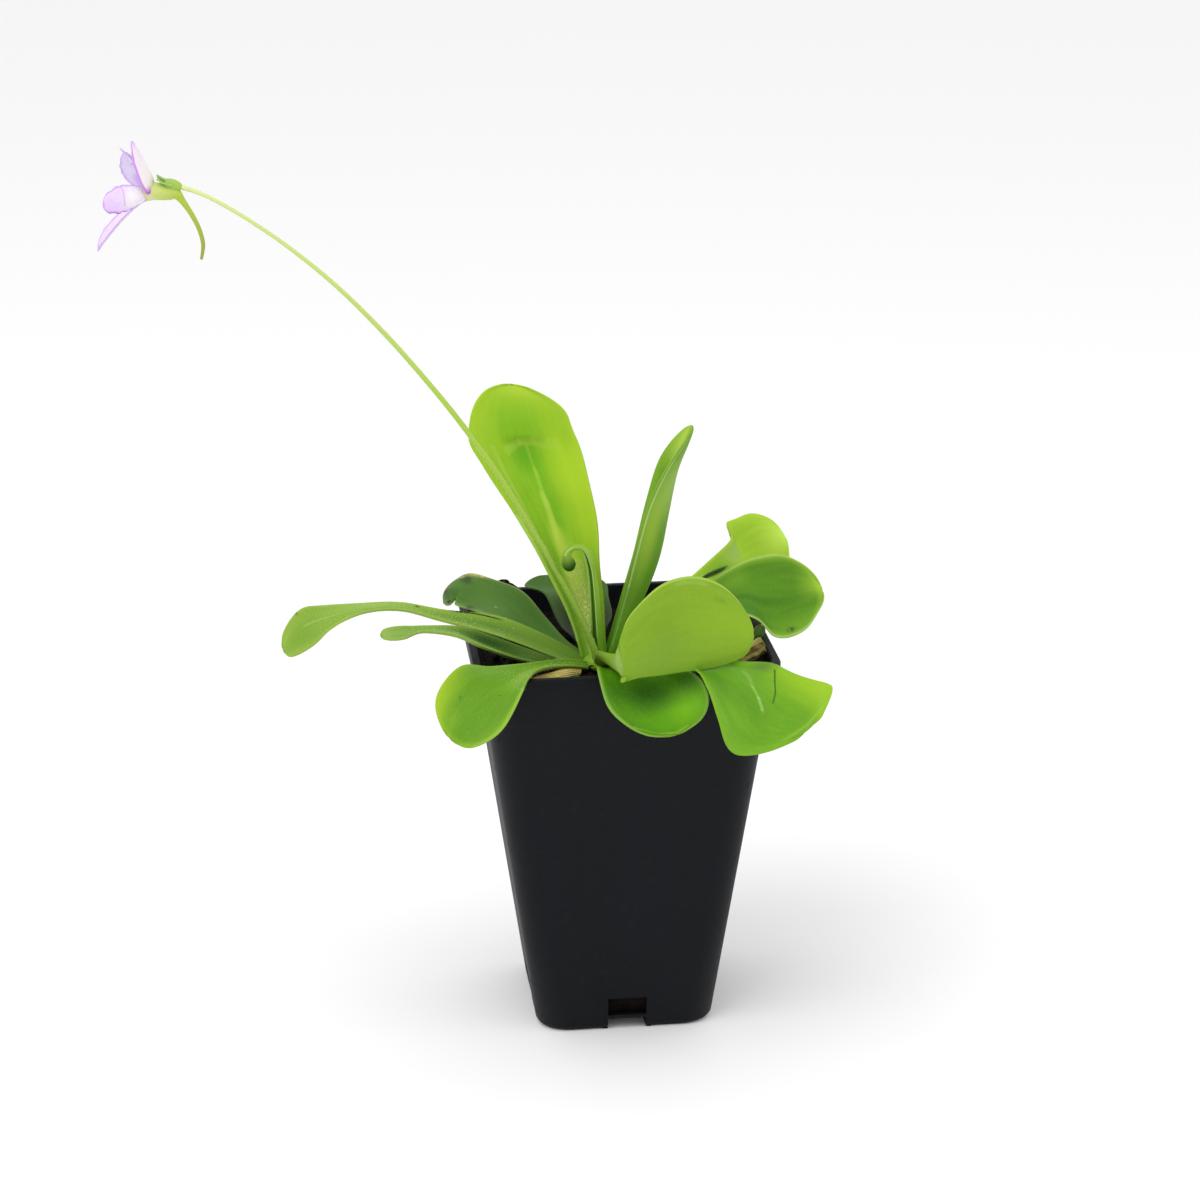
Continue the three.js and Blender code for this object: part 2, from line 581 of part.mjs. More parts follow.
function makeFlower() {
  return [
    piece('flower_stalk', stalk(SCAPE, 30, 7), stalkGreen),
    piece('flower_tube', stalk(TUBE, 24, 10), tubeGreen),
    makePetals(),
    makeCalyx(),
  ];
}

// ---------------------------------------------------------------- assembly

const butterwort = new THREE.Group();
butterwort.add(makePot(), makeSoil(), makeCrown());
butterwort.add(...makeLeaves(), ...makeWitheredLeaves(), ...makeFlower());

export default butterwort;
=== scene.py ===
# %% [markdown]
# # A potted butterwort
# A butterwort is a small plant that catches gnats on sticky leaves. This one is of the Mexican
# kind, with spoon-shaped fleshy leaves and one spurred violet flower. It grows in peat in a black
# plastic nursery pot. Its solids are already made and packed, so this lesson gives them their
# looks: a fine surface for every piece, and a finish for every surface.

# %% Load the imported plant
import math

import bmesh
import bpy
import numpy as np
from mathutils import Euler, Matrix, Vector, noise


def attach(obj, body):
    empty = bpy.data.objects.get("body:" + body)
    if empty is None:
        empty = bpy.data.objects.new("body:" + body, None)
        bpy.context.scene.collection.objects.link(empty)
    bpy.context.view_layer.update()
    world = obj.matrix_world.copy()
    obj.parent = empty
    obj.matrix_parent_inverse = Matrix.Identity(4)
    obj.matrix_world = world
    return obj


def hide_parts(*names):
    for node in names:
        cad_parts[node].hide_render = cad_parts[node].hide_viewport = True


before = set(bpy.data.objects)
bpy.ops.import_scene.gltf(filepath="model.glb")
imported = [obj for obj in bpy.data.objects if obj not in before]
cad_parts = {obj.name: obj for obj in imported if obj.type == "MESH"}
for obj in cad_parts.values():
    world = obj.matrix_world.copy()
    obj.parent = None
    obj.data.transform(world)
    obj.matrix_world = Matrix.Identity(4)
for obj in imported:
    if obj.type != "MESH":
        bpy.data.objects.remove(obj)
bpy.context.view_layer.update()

MM = 0.001

# %% [markdown]
# ## The view
# A long lens from a little above shows the plant almost as it measures, with no swollen front.
# The camera is made first, so that every later piece can be looked at from the start.

# %% Camera
SENSOR_MM, LENS_MM = 36, 93.43
CAMERA_PLACE = (-0.08789, -0.75197, 0.35409)
LOOK_DOWN, LEAN, AROUND = 0.3125, -0.0088, 0.1117  # radians
camera_data = bpy.data.cameras.new("studio_camera")
camera_data.sensor_width, camera_data.lens = SENSOR_MM, LENS_MM
camera = bpy.data.objects.new("studio_camera", camera_data)
bpy.context.collection.objects.link(camera)
turn = Euler((math.pi / 2 - LOOK_DOWN, 0, -AROUND)).to_matrix() @ Matrix.Rotation(LEAN, 3, "Z")
camera.matrix_world = Matrix.Translation(CAMERA_PLACE) @ turn.to_4x4()
bpy.context.scene.camera = camera
print("lens", camera_data.lens, "mm")

# %% [markdown]
# ## Light and floor
# Plain white surroundings light the plant softly from all sides. One large lamp above and to the
# left gives the leaves their form, and a weaker one from the right keeps shadows open. The floor
# is pale and plain, and wide enough that the camera doesn't see its end.

# %% Surroundings, lamps and floor
ROOM_LIGHT, FLOOR_RADIUS, PLANT_MIDDLE = 0.97, 6, Vector((0, 0, 0.1))
bpy.context.scene.view_settings.view_transform = "Standard"
world = bpy.data.worlds.new("white_room")
world.use_nodes = True
world.node_tree.nodes["Background"].inputs["Color"].default_value = (1, 1, 1, 1)
world.node_tree.nodes["Background"].inputs["Strength"].default_value = ROOM_LIGHT
bpy.context.scene.world = world


def lamp(name, place, size, watts):
    data = bpy.data.lights.new(name, "AREA")
    data.size, data.energy = size, watts
    thing = bpy.data.objects.new(name, data)
    bpy.context.collection.objects.link(thing)
    facing = (PLANT_MIDDLE - Vector(place)).to_track_quat("-Z", "Y")
    thing.matrix_world = Matrix.LocRotScale(Vector(place), facing, None)


lamp("key_lamp", (-0.5, -0.45, 1.0), 0.8, 4.5)
lamp("side_lamp", (0.9, -0.35, 0.45), 0.6, 1.2)
bpy.ops.mesh.primitive_circle_add(vertices=96, radius=FLOOR_RADIUS, fill_type="NGON")
floor = bpy.context.object
floor.name = "floor"
print(len(bpy.data.lights), "lamps")

# %% [markdown]
# ## Finishes as written sums
# A procedural finish is a small calculation that runs at every point of a surface. Its nodes
# could be placed by hand, but sums are easier to read. So a finish is written here as Python:
# a `Wire` is one node's output, and adding or multiplying wires adds Math nodes. Any other node
# comes from `node`, and colours are mixed by `blend`. A `fleck` is noise with so many flecks in a
# metre. `finish` sets the shader. Its relief is a height with its depth in metres and its strength.
# Its glow is how much light goes under the surface, and how far red, green and blue go in mm.

# %% The wire and the recipe
def paint(code):
    """A colour as makers write it, such as #A8D23C, in the linear values that light uses."""
    shares = [int(code[i:i + 2], 16) / 255 for i in (1, 3, 5)]
    return tuple(c / 12.92 if c < 0.04045 else ((c + 0.055) / 1.055) ** 2.4 for c in shares) + (1.0,)


def paints(tones):
    return [paint(tone) for tone in tones.split()]


class Wire:
    def __init__(self, recipe, socket):
        self.recipe, self.socket = recipe, socket

    def sum(self, operation, *terms):
        return self.recipe.node("ShaderNodeMath", {"operation": operation}, dict(enumerate(terms)))

    def sine(self):
        return self.sum("SINE", self)

    __add__ = __radd__ = lambda self, other: self.sum("ADD", self, other)
    __sub__ = lambda self, other: self.sum("SUBTRACT", self, other)
    __rsub__ = lambda self, other: self.sum("SUBTRACT", other, self)
    __mul__ = __rmul__ = lambda self, other: self.sum("MULTIPLY", self, other)
    __pow__ = lambda self, other: self.sum("POWER", self, other)
    __abs__ = lambda self: self.sum("ABSOLUTE", self)


class Recipe:
    def __init__(self, name):
        self.material = bpy.data.materials.new(name)
        self.material.use_nodes = True
        self.tree = self.material.node_tree
        self.surface = self.tree.nodes["Principled BSDF"]

    def node(self, kind, settings, sockets, output=0):
        made = self.tree.nodes.new(kind)
        for key, value in settings.items():
            setattr(made, key, value)
        for key, value in sockets.items():
            self.plug(made.inputs[key], value)
        return Wire(self, made.outputs[output])

    def plug(self, socket, value):
        if isinstance(value, Wire):
            self.tree.links.new(value.socket, socket)
        else:
            socket.default_value = value

    def blend(self, share, first, second):
        return self.node("ShaderNodeMix", {"data_type": "RGBA"}, {0: share, 6: first, 7: second}, output=2)

    def fade(self, value, start, end):
        """0 at start, 1 at end, with a soft turn at both."""
        return self.node("ShaderNodeMapRange", {"interpolation_type": "SMOOTHSTEP"},
                         {"Value": value, "From Min": start, "From Max": end})

    def read(self, *names):
        return [self.node("ShaderNodeAttribute", {"attribute_name": n}, {}, output="Fac") for n in names]

    def fleck(self, per_metre, detail=3.0, stretch=None):
        where = self.node("ShaderNodeTexCoord", {}, {}, output="Object")
        if stretch:
            where = self.node("ShaderNodeVectorMath", {"operation": "MULTIPLY"}, {0: where, 1: stretch})
        return self.node("ShaderNodeTexNoise", {}, {"Vector": where, "Scale": per_metre, "Detail": detail})

    def finish(self, colour, roughness, gloss=0.5, relief=None, glow=None, sheen=0):
        sockets = {"Base Color": colour, "Roughness": roughness, "Specular IOR Level": gloss,
                   "Sheen Weight": sheen}
        if relief:
            parts = dict(zip(("Height", "Distance", "Strength"), relief))
            sockets["Normal"] = self.node("ShaderNodeBump", {}, parts)
        if glow:
            sockets.update({"Subsurface Weight": glow[0], "Subsurface Radius": glow[1:],
                            "Subsurface Scale": MM})
        for key, value in sockets.items():
            self.plug(self.surface.inputs[key], value)
        return self.material


print("a lime green is", [round(c, 3) for c in paint("#A8D23C")])

# %% [markdown]
# ## Plain finishes first
# The floor is almost white and quite dull, so it takes a soft shadow and no mirror image.
# Nursery pots are moulded from recycled black plastic, which has a fine satin grain, faint
# streaks from the mould and a little dust. All three are gentle, or the pot would look old.

# %% Floor and pot plastic
floor.data.materials.append(Recipe("pale_floor").finish((0.93, 0.93, 0.93, 1), 0.9))


def make_plastic():
    r = Recipe("black_plastic")
    grain, waves = r.fleck(3200, 2), r.fleck(160, 2)
    streak = r.fleck(110, 4, stretch=(1, 1, 0.12))
    dust = r.fade(r.fleck(420, 6), 0.56, 0.78)
    black = r.blend(streak, paint("#0A0B10"), paint("#101217"))
    colour = r.blend(dust * 0.12, black, paint("#3A3734"))
    dullness = 0.44 + 0.16 * streak + 0.2 * dust
    return r.finish(colour, dullness, 0.12, relief=(grain + 0.6 * waves, 0.00012, 0.35))


black_plastic = make_plastic()
print(black_plastic.name, len(black_plastic.node_tree.nodes), "nodes")

# %% [markdown]
# ## Meshes from rings
# Almost every piece of this plant is a row of closed rings joined into a skin: a pot is square
# rings, a stalk is round ones, and a leaf is long flat ones. One function joins them. Another
# stores numbers on the points, such as how far along the leaf each one lies, so that a finish
# can later follow the leaf's own shape.

# %% Rings into meshes
def ring_faces(rows, count):
    i, j = np.meshgrid(np.arange(rows - 1), np.arange(count), indexing="ij")
    a, b = i * count + j, i * count + (j + 1) % count
    faces = np.stack([a, b, b + count, a + count], -1).reshape(-1, 4)
    caps = [tuple(range(count - 1, -1, -1)), tuple(range((rows - 1) * count, rows * count))]
    return [tuple(f) for f in faces.tolist()] + caps


def ring_body(rings):
    return rings.reshape(-1, 3), ring_faces(*rings.shape[:2])


def bare_object(name, points_mm, faces):
    mesh = bpy.data.meshes.new(name)
    mesh.from_pydata((np.asarray(points_mm, float) * MM).tolist(), [], faces)
    thing = bpy.data.objects.new(name, mesh)
    bpy.context.collection.objects.link(thing)
    return thing


def put_mesh(name, points_mm, faces, finish, values=None):
    piece = bare_object(name, points_mm, faces)
    for key, numbers in (values or {}).items():
        stored = piece.data.attributes.new(key, "FLOAT", "POINT").data
        stored.foreach_set("value", np.asarray(numbers, np.float32).ravel())
    piece.data.shade_smooth()
    piece.data.materials.append(finish)
    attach(piece, "root")
    return piece


def joined(parts):
    """Several (points, faces) as one."""
    points, faces, start = [], [], 0
    for some, their_faces in parts:
        points.append(some)
        faces += [tuple(k + start for k in face) for face in their_faces]
        start += len(some)
    return np.concatenate(points), faces


print(len(ring_faces(3, 4)), "faces join three square rings")

# %% [markdown]
# ## The pot
# The pot is thin, square and tapered. A rim band stiffens its top, and a narrow lip ends it.
# Its foot has a notch in the middle of each side, under a raised step of the floor, and a drain
# slot above each notch. The walls are rings with rounded corners. The notches and slots are cut
# afterwards, because a cut is the simplest way to make a clean hole through a thin wall.

# %% Pot sizes in millimetres
HEIGHT, WALL, FLOOR, CORNER = 102, 1.2, 1.4, 7.8
FOOT_HALF, BODY_HALF, COLLAR_FOOT, COLLAR_TOP, LIP_HALF = 22.8, 35.3, 36.3, 37.2, 38
COLLAR_Z, LIP_Z = HEIGHT - 12.8, HEIGHT - 1.4
SLOT_HALF, NOTCH_END, NOTCH_Z, STEP_Z, SLOT_Z = 5, FOOT_HALF - 9, 3.2, 4.2, 9.2
CORNER_STEPS, SHARP_ANGLE = 12, math.radians(38)


def body_half(z):
    return FOOT_HALF + (BODY_HALF - FOOT_HALF) * min(z / COLLAR_Z, 1)


def square_ring(half, z):
    ring, reach = [], (half - CORNER) * math.sqrt(2)
    for k in range(4):
        middle = (k + 0.5) * math.pi / 2
        for step in range(CORNER_STEPS + 1):
            angle = (k + step / CORNER_STEPS) * math.pi / 2
            ring.append((reach * math.cos(middle) + CORNER * math.cos(angle),
                         reach * math.sin(middle) + CORNER * math.sin(angle), z))
    return np.array(ring)


outside = [
    (FOOT_HALF - 1.6, 0), (FOOT_HALF - 0.9, 0.12), (FOOT_HALF - 0.35, 0.55), (body_half(1.6), 1.6),
    (body_half(30), 30), (body_half(60), 60), (BODY_HALF - 0.03, COLLAR_Z - 0.25),
    (BODY_HALF + 0.12, COLLAR_Z), (COLLAR_FOOT - 0.2, COLLAR_Z + 0.6), (COLLAR_FOOT, COLLAR_Z + 0.95),
    (COLLAR_TOP - 0.05, LIP_Z - 0.2), (COLLAR_TOP + 0.15, LIP_Z), (LIP_HALF - 0.15, LIP_Z + 0.08),
    (LIP_HALF, LIP_Z + 0.25), (LIP_HALF, HEIGHT - 0.35), (LIP_HALF - 0.12, HEIGHT - 0.1),
    (LIP_HALF - 0.4, HEIGHT)]
inside = [
    (COLLAR_TOP - WALL + 0.3, HEIGHT), (COLLAR_TOP - WALL, HEIGHT - 0.3),
    (COLLAR_FOOT - WALL, COLLAR_Z + 0.7), (BODY_HALF - WALL, COLLAR_Z - 0.7), (body_half(30) - WALL, 30),
    (body_half(FLOOR) - WALL, FLOOR)]
print(len(outside) + len(inside), "rings")

# %% Cutting and the pot
def four_boxes(low, high):
    """A box near the front wall, and its like at the other three walls."""
    (x0, y0, z0), (x1, y1, z1) = low, high
    corners = ((x0, y0), (x1, y0), (x1, y1), (x0, y1))
    box = np.array([(x, y, z) for z in (z0, z1) for x, y in corners], float)
    turns = [np.array([[c, -s, 0], [s, c, 0], [0, 0, 1]]) for c, s in ((1, 0), (0, 1), (-1, 0), (0, -1))]
    return joined([(box @ turn.T, ring_faces(2, 4)) for turn in turns])


def boolean(thing, operation, low, high):
    tool = bare_object("cutter", *four_boxes(low, high))
    step = thing.modifiers.new("cut", "BOOLEAN")
    step.operation, step.object, step.solver = operation, tool, "EXACT"
    done = bpy.data.meshes.new_from_object(thing.evaluated_get(bpy.context.evaluated_depsgraph_get()))
    thing.modifiers.clear()
    thing.data = done
    bpy.data.objects.remove(tool)


def make_pot():
    rings = np.stack([square_ring(half, z) for half, z in outside + inside])
    pot = bare_object("nursery_pot", *ring_body(rings))
    half, wide = SLOT_HALF, SLOT_HALF + 1.2
    boolean(pot, "UNION", (-wide, 0.6 - FOOT_HALF, 0.02), (wide, 1.2 - NOTCH_END, STEP_Z))
    boolean(pot, "DIFFERENCE", (-half, -FOOT_HALF - 3, -1), (half, -NOTCH_END, NOTCH_Z))
    boolean(pot, "DIFFERENCE", (-half, -body_half(9) - 3, STEP_Z), (half, 2.6 - body_half(4), SLOT_Z))
    pot.data.shade_smooth()
    pot.data.set_sharp_from_angle(angle=SHARP_ANGLE)
    pot.data.materials.clear()
    pot.data.materials.append(black_plastic)
    return pot


pot = make_pot()
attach(pot, "root")
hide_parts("pot")
print(pot.name, len(pot.data.polygons), "faces")

# %% [markdown]
# ## Peat
# Peat is dark, damp and crumbly, with reddish fibres and small bits of bark. One displaced
# surface gives its lumps, and a few hundred loose crumbs and fibres give its broken edge.
# Colour comes from three sizes of noise, since one size alone looks like painted marble.

# %% Peat finish
def make_peat():
    r = Recipe("damp_peat")
    coarse, fine, bark = r.fleck(260, 5), r.fleck(1500, 4), r.fleck(700, 2)
    # Peat is dark of itself, and its black and brown are darker still, as painted shade under the leaves.
    black, brown, red, tan = paints("#060403 #1C0F0A #4A2817 #8A6E4A")
    colour = r.blend(r.fade(coarse, 0.35, 0.7), black, brown)
    colour = r.blend(r.fade(fine, 0.6, 0.74) * 0.5, colour, red)
    colour = r.blend(r.fade(bark, 0.72, 0.78) * 0.4, colour, tan)
    return r.finish(colour, 0.94 - 0.2 * fine, 0.1, relief=(coarse + fine, 0.0006, 0.8))


damp_peat = make_peat()
print(damp_peat.name)

# %% Soil body
SOIL_Z, CROWN_X, CROWN_Y, SOIL_GAP, SOIL_RINGS = 95.6, -5.5, -10.5, 0.3, 56


def soil_height(x, y):
    """Slow lumps, two sizes of crumb, and a low mound round the crown."""
    lumps = (math.sin(x * 0.37 + 1.1) * math.cos(y * 0.31 - 0.4) + 0.6 * math.sin(x * 0.83 - y * 0.61)
             + 0.4 * math.cos(x * 0.52 + y * 0.97))
    coarse, fine = (noise.noise(Vector((x * k, y * k, level))) for k, level in ((0.9, 3), (2.3, 9)))
    mound = 0.6 * math.exp(-((math.hypot(x - CROWN_X, y - CROWN_Y) / 11) ** 2))
    return SOIL_Z + 0.35 * lumps + mound + (coarse * 0.45 + fine * 0.3)


def make_soil():
    inset = WALL + SOIL_GAP
    levels = [(body_half(4.2), 4.5), (body_half(30), 30), (body_half(60), 60), (BODY_HALF, COLLAR_Z - 0.7),
              (COLLAR_FOOT, COLLAR_Z + 0.7)]
    rings = [square_ring(half - inset, z) for half, z in levels]
    rim = square_ring(COLLAR_FOOT - inset + 0.3, 0)
    for k in range(SOIL_RINGS):
        rings.append([(x, y, soil_height(x, y)) for x, y, _ in rim * (1 - k / SOIL_RINGS)])
    return put_mesh("peat", *ring_body(np.array(rings)), damp_peat)


soil = make_soil()
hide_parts("soil")
print(len(soil.data.polygons), "faces of soil")

# %% Crumbs and fibres
CRUMBS, FIBRES, FIBRE_HALF, FIBRE_STEPS = 620, 90, 0.09, 6
RIM_CRUMBS = [(-25.1, 35.9, 104.1, 1.2), (-24.2, 36.1, 102.9, 1.3), (-22.9, 36.3, 102.4, 0.9)]
chance = np.random.default_rng(11)


def ball(splits):
    made = bmesh.new()
    bmesh.ops.create_icosphere(made, subdivisions=splits, radius=1)
    points = np.array([v.co[:] for v in made.verts])
    faces = [tuple(v.index for v in f.verts) for f in made.faces]
    made.free()
    return points, faces


lump, lump_faces = ball(2)


def crumb(place, size, roughness, stretch=None):
    """A rough lump. Without a given stretch it is stretched and turned at random."""
    rough = lump * (1 + chance.uniform(-roughness, roughness, (len(lump), 1)))
    if stretch:
        return rough * stretch * size + place, lump_faces
    rough = rough * chance.uniform(0.6, 1.2, 3) * size
    turn = np.array(Euler(chance.uniform(0, 2 * math.pi, 3)).to_matrix())
    return rough @ turn.T + place, lump_faces


def fibre():
    """A thin bent four-sided thread on the soil, or nothing where it would run past the wall."""
    x, y = chance.uniform(-31, 31, 2)
    heading, length, bend = chance.uniform(0, 6.28), chance.uniform(1.5, 5), chance.uniform(-1, 1)
    rings = []
    for t in np.linspace(0, 1, FIBRE_STEPS):
        px = x + math.cos(heading + bend * t) * length * t
        py = y + math.sin(heading + bend * t) * length * t
        pz = soil_height(px, py) + 0.25 + 0.5 * math.sin(math.pi * t)
        rings.append([(px - FIBRE_HALF * math.sin(heading) * math.cos(a),
                       py + FIBRE_HALF * math.cos(heading) * math.cos(a),
                       pz + FIBRE_HALF * math.sin(a)) for a in (0, 1.57, 3.14, 4.71)])
    return [ring_body(np.array(rings))] if max(abs(px), abs(py)) < 33 else []


parts = []
for _ in range(CRUMBS):
    x, y = chance.uniform(-32, 32, 2)
    size = 0.25 + 0.9 * chance.random() ** 3
    parts.append(crumb((x, y, soil_height(x, y) + size * 0.35), size, 0.3))
for _ in range(FIBRES):
    parts += fibre()
for x, y, z, size in RIM_CRUMBS:
    parts.append(crumb((x, y, z), size, 0.25, (1.3, 0.8, 0.7)))
crumbs = put_mesh("peat_crumbs", *joined(parts), damp_peat)
print(len(crumbs.data.polygons), "faces of crumbs and fibres")

# %% [markdown]
# ## How a leaf is shaped
# A butterwort leaf is a thin fleshy blade. It starts as a narrow base in the rosette, widens to a
# spoon, and bends and twists on its way. A row of ribs describes that well: each rib is a bar
# across the leaf with its middle, half width, heading, tilt and dip. A smooth curve runs through
# the ribs, so a handful of them is enough for a long leaf.

# %% A smooth curve through a table
def through(table, places):
    """Rows read between those of a table, on a smooth curve that runs through them all."""
    table = np.asarray(table, float)
    last = len(table) - 1
    spot = np.clip(np.asarray(places, float), 0, 1) * last
    i = np.minimum(spot.astype(int), last - 1)
    t = (spot - i)[:, None]
    a, b, c, d = (table[np.clip(i + k, 0, last)] for k in (-1, 0, 1, 2))
    return b + 0.5 * t * (c - a + t * (2 * a - 5 * b + 4 * c - d + t * (3 * (b - c) + d - a)))


def unit(vectors):
    return vectors / np.maximum(np.linalg.norm(vectors, axis=-1, keepdims=True), 1e-9)


def soft_step(value, start, end):
    t = np.clip((np.asarray(value, float) - start) / (end - start), 0, 1)
    return t * t * (3 - 2 * t)


def bell(value, middle, width, power=2):
    return np.exp(-(((value - middle) / width) ** power))


print("halfway through 0, 1, 4:", through([[0], [1], [4]], [0.5])[0])

# %% The middle sheet of a blade
ROUND_SHARE, ROUND_TURN, SLOPE_STEP = 0.42, 1.5, 0.015


def blade_stations(rows, round_from, tip_power):
    """Where the ribs are read, and the share of their width. The last stations close the tip."""
    round_rows = round(rows * ROUND_SHARE)
    step = np.arange(rows + 1)
    turn = np.clip((step - rows + round_rows) / round_rows, 0, None) * ROUND_TURN
    straight = step / (rows - round_rows) * round_from
    along = np.where(turn > 0, round_from + (1 - round_from) * np.sin(turn), straight)
    return along, np.where(turn > 0, np.cos(turn) ** tip_power, 1.0)


def blade_sheet(ribs, rows, columns, round_from, tip_power, outline=None):
    along, share = blade_stations(rows, round_from, tip_power)
    across = np.sin(np.linspace(-math.pi / 2, math.pi / 2, columns + 1))
    rib = through(ribs, along)
    ahead, behind = (through(ribs, along + s)[:, :3] for s in (SLOPE_STEP, -SLOPE_STEP))
    heading, tilt = np.radians(rib[:, 4]), np.radians(rib[:, 5])
    bar = np.stack([np.cos(heading) * np.cos(tilt), np.sin(heading) * np.cos(tilt), np.sin(tilt)], -1)
    up = unit(np.cross(bar, unit(ahead - behind)))
    v, u = np.meshgrid(along, across, indexing="ij")
    wide = (rib[:, 3] * share)[:, None] * np.ones_like(u)
    if outline:
        wide = wide * outline(v, u)
    dip = (rib[:, 6] * share)[:, None] * (1 - u * u)
    points = rib[:, None, :3] + bar[:, None] * (wide * u)[..., None] - up[:, None] * dip[..., None]
    return points, bar, v, u, share, wide


print("stations", blade_stations(6, 0.7, 1.0)[0].round(2))

# %% The whole blade
FULL_BODY = 5


def normals(points):
    return unit(np.cross(np.gradient(points, axis=1), np.gradient(points, axis=0)))


def blade_skin(points, bar, v, u, share, thick, edge):
    """Closed rings round the blade: upper face, one margin, lower face, other margin."""
    depth = edge + (thick - edge) * np.clip(1 - u * u, 0, 1) ** 0.8
    depth = depth * (0.35 + 0.65 * share[:, None] ** 0.5)
    half = normals(points) * depth[..., None] / 2
    reach = bar * (depth[:, :1] * 0.5)
    left, right = points[:, :1] - reach[:, None], points[:, -1:] + reach[:, None]
    rings = np.concatenate([points + half, right, (points - half)[:, ::-1], left], axis=1)
    ones = np.ones_like(v)
    one = ones[:, :1]
    return rings, {"along": np.concatenate([v, v[:, :1], v, v[:, :1]], axis=1),
                   "across": np.concatenate([u, one, u[:, ::-1], -one], axis=1),
                   "upper": np.concatenate([ones, one * 0.5, ones * 0, one * 0.5], axis=1)}


def make_blade(name, ribs, finish, round_from=0.7, tip_power=1.0, rows=72, columns=26, thick=1.15,
               edge=0.42, curl=0, groove=0, wave=0, shape=None, outline=None):
    """In millimetres, curl lifts the margins, groove sinks the midrib, and wave ripples the blade."""
    points, bar, v, u, share, wide = blade_sheet(ribs, rows, columns, round_from, tip_power, outline)
    body = np.clip(wide / FULL_BODY, 0, 1)
    lift = curl * soft_step(np.abs(u), 0.7, 1) * body - groove * bell(u, 0, 0.09) * (1 - v) * body
    if wave:
        ripple = [noise.noise(Vector(p * 0.09 + len(name))) for p in points.reshape(-1, 3)]
        lift = lift + wave * np.array(ripple).reshape(u.shape) * body
    if shape:
        lift = lift + shape(v, u)
    points = points + normals(points) * lift[..., None]
    rings, values = blade_skin(points, bar, v, u, share, thick, edge)
    return put_mesh(name, *ring_body(rings), finish, values)


print("a blade is swept from ribs, and is at full thickness where it is", 2 * FULL_BODY, "mm wide")

# %% [markdown]
# ## Leaf skin
# A young butterwort leaf is lime green. It is paler and yellower towards its thick margin, deeper
# green in patches, and yellowish at its base, where it makes a wet channel. Its upper face shines a
# little from the sticky glands, and its underside is paler and dull. The skin below follows the leaf
# through the stored numbers along, across and upper. Wide soft washes of colour come first, then
# thin lines and ragged spots, just as one would paint a leaf by hand. Some washes and lines are
# painted shade in hollows and under other leaves, and some are painted highlights. A thin pale rim
# line and pale flecks on a wet base are painted highlights too.

# %% Marks in a leaf's own measures
LINE_STRETCH = 2.5


def wash(r, along, across, at, off, reach, spread):
    """A soft oval. Its middle and its half axes are given along and across the leaf."""
    far, aside = (along - at) * (1 / reach), (across - off) * (1 / spread)
    return 1 - r.fade((far * far + aside * aside) ** 0.5, 0, 1)


def stroke(r, along, across, at, off, end, end_off, width):
    """A line between two places. Both are stretched first, since a leaf is longer than wide."""
    run, rise = (end - at) * LINE_STRETCH, end_off - off
    far, aside = (along - at) * LINE_STRETCH, across - off
    share = (far * run + aside * rise) * (1 / (run * run + rise * rise))
    t = r.node("ShaderNodeClamp", {}, {"Value": share})
    far, aside = far - t * run, aside - t * rise
    return 1 - r.fade(far * far + aside * aside, 0, width ** 2)


def painted(r, colour, along, across, washes, lines, spots=()):
    """Marks over a colour. Each row is a tone, the numbers of its shape, and its strength."""
    marks = [(wash(r, along, across, *shape), strength, tone) for tone, *shape, strength in washes]
    marks += [(stroke(r, along, across, *shape), strength, tone) for tone, *shape, strength in lines]
    for tone, *shape, strength in spots:
        ragged = r.fade(r.fleck(1300, 2), 0.3, 0.55)
        marks.append((wash(r, along, across, *shape) * ragged, strength, tone))
    for share, strength, tone in marks:
        colour = r.blend(share * strength, colour, paint(tone))
    return colour


print("washes, lines and spots")

# %% Leaf skin
RIM_HIGHLIGHT, BLOOM_TONE, GLINT_TONE = paints("#CFE39A #D8EA84 #F2F2A8")


def leaf_skin(name, tones, washes=(), lines=(), spots=(), border=0.45, border_strength=0.7, rim=0,
              wet=False, base_end=0.3, bloom=0.05):
    """The tones are those of the body, its deeper patches, the margin, the base and the underside."""
    r = Recipe(name)
    body, deep, margin, base, under = paints(tones)
    along, across, upper = r.read("along", "across", "upper")
    side = abs(across)
    lengthwise = r.node("ShaderNodeCombineXYZ", {}, {"X": along * 1.6, "Y": across * 2.4})
    streak = r.node("ShaderNodeTexNoise", {}, {"Vector": lengthwise, "Scale": 3, "Detail": 3})
    cloud, fine = r.fleck(80, 2), r.fleck(2600, 3)
    patchy = r.fade(cloud * 0.5 + streak * 0.5, 0.36, 0.64)
    tip = r.fade(along, 0.76, 1)
    edge = 1 - (1 - side * side) * (1 - tip * tip)
    top = r.blend(r.fade(edge, border, 1) * border_strength, r.blend(patchy, deep, body), margin)
    below = r.blend(patchy * 0.35, under, margin)
    colour = r.blend(r.fade(upper, 0.25, 0.75), below, top)
    colour = r.blend(1 - r.fade(along, 0.04, base_end), colour, base)
    colour = painted(r, colour, along, across, washes, lines, spots)
    # The rim is a painted highlight: a thin pale line just inside the margin, past the leaf's stalk.
    if rim:
        thin = r.fade(side, 0.92, 1) * r.fade(along, 0.3, 0.5)
        colour = r.blend(thin * rim, colour, RIM_HIGHLIGHT)
    colour = r.blend(r.fade(fine, 0.45, 0.8) * bloom, colour, BLOOM_TONE)
    dullness = 0.42 + 0.12 * cloud + 0.1 * (1 - upper)
    # A wet base is less rough, and its pale flecks are painted glints of light on the glue.
    if wet:
        damp = (1 - r.fade(along, 0.15, 0.4)) * (1 - r.fade(abs(across - 0.1), 0.1, 0.5)) * upper
        drops = r.fade(r.fleck(1700, 1), 0.5, 0.62) * damp
        colour = r.blend(drops * 0.8, colour, GLINT_TONE)
        dullness = dullness - 0.2 * damp
    return r.finish(colour, dullness, 0.13, relief=(fine + 0.6 * streak, 0.00012, 0.35),
                    glow=(0.1, 0.4, 1, 0.15))


print("a leaf skin takes five tones")

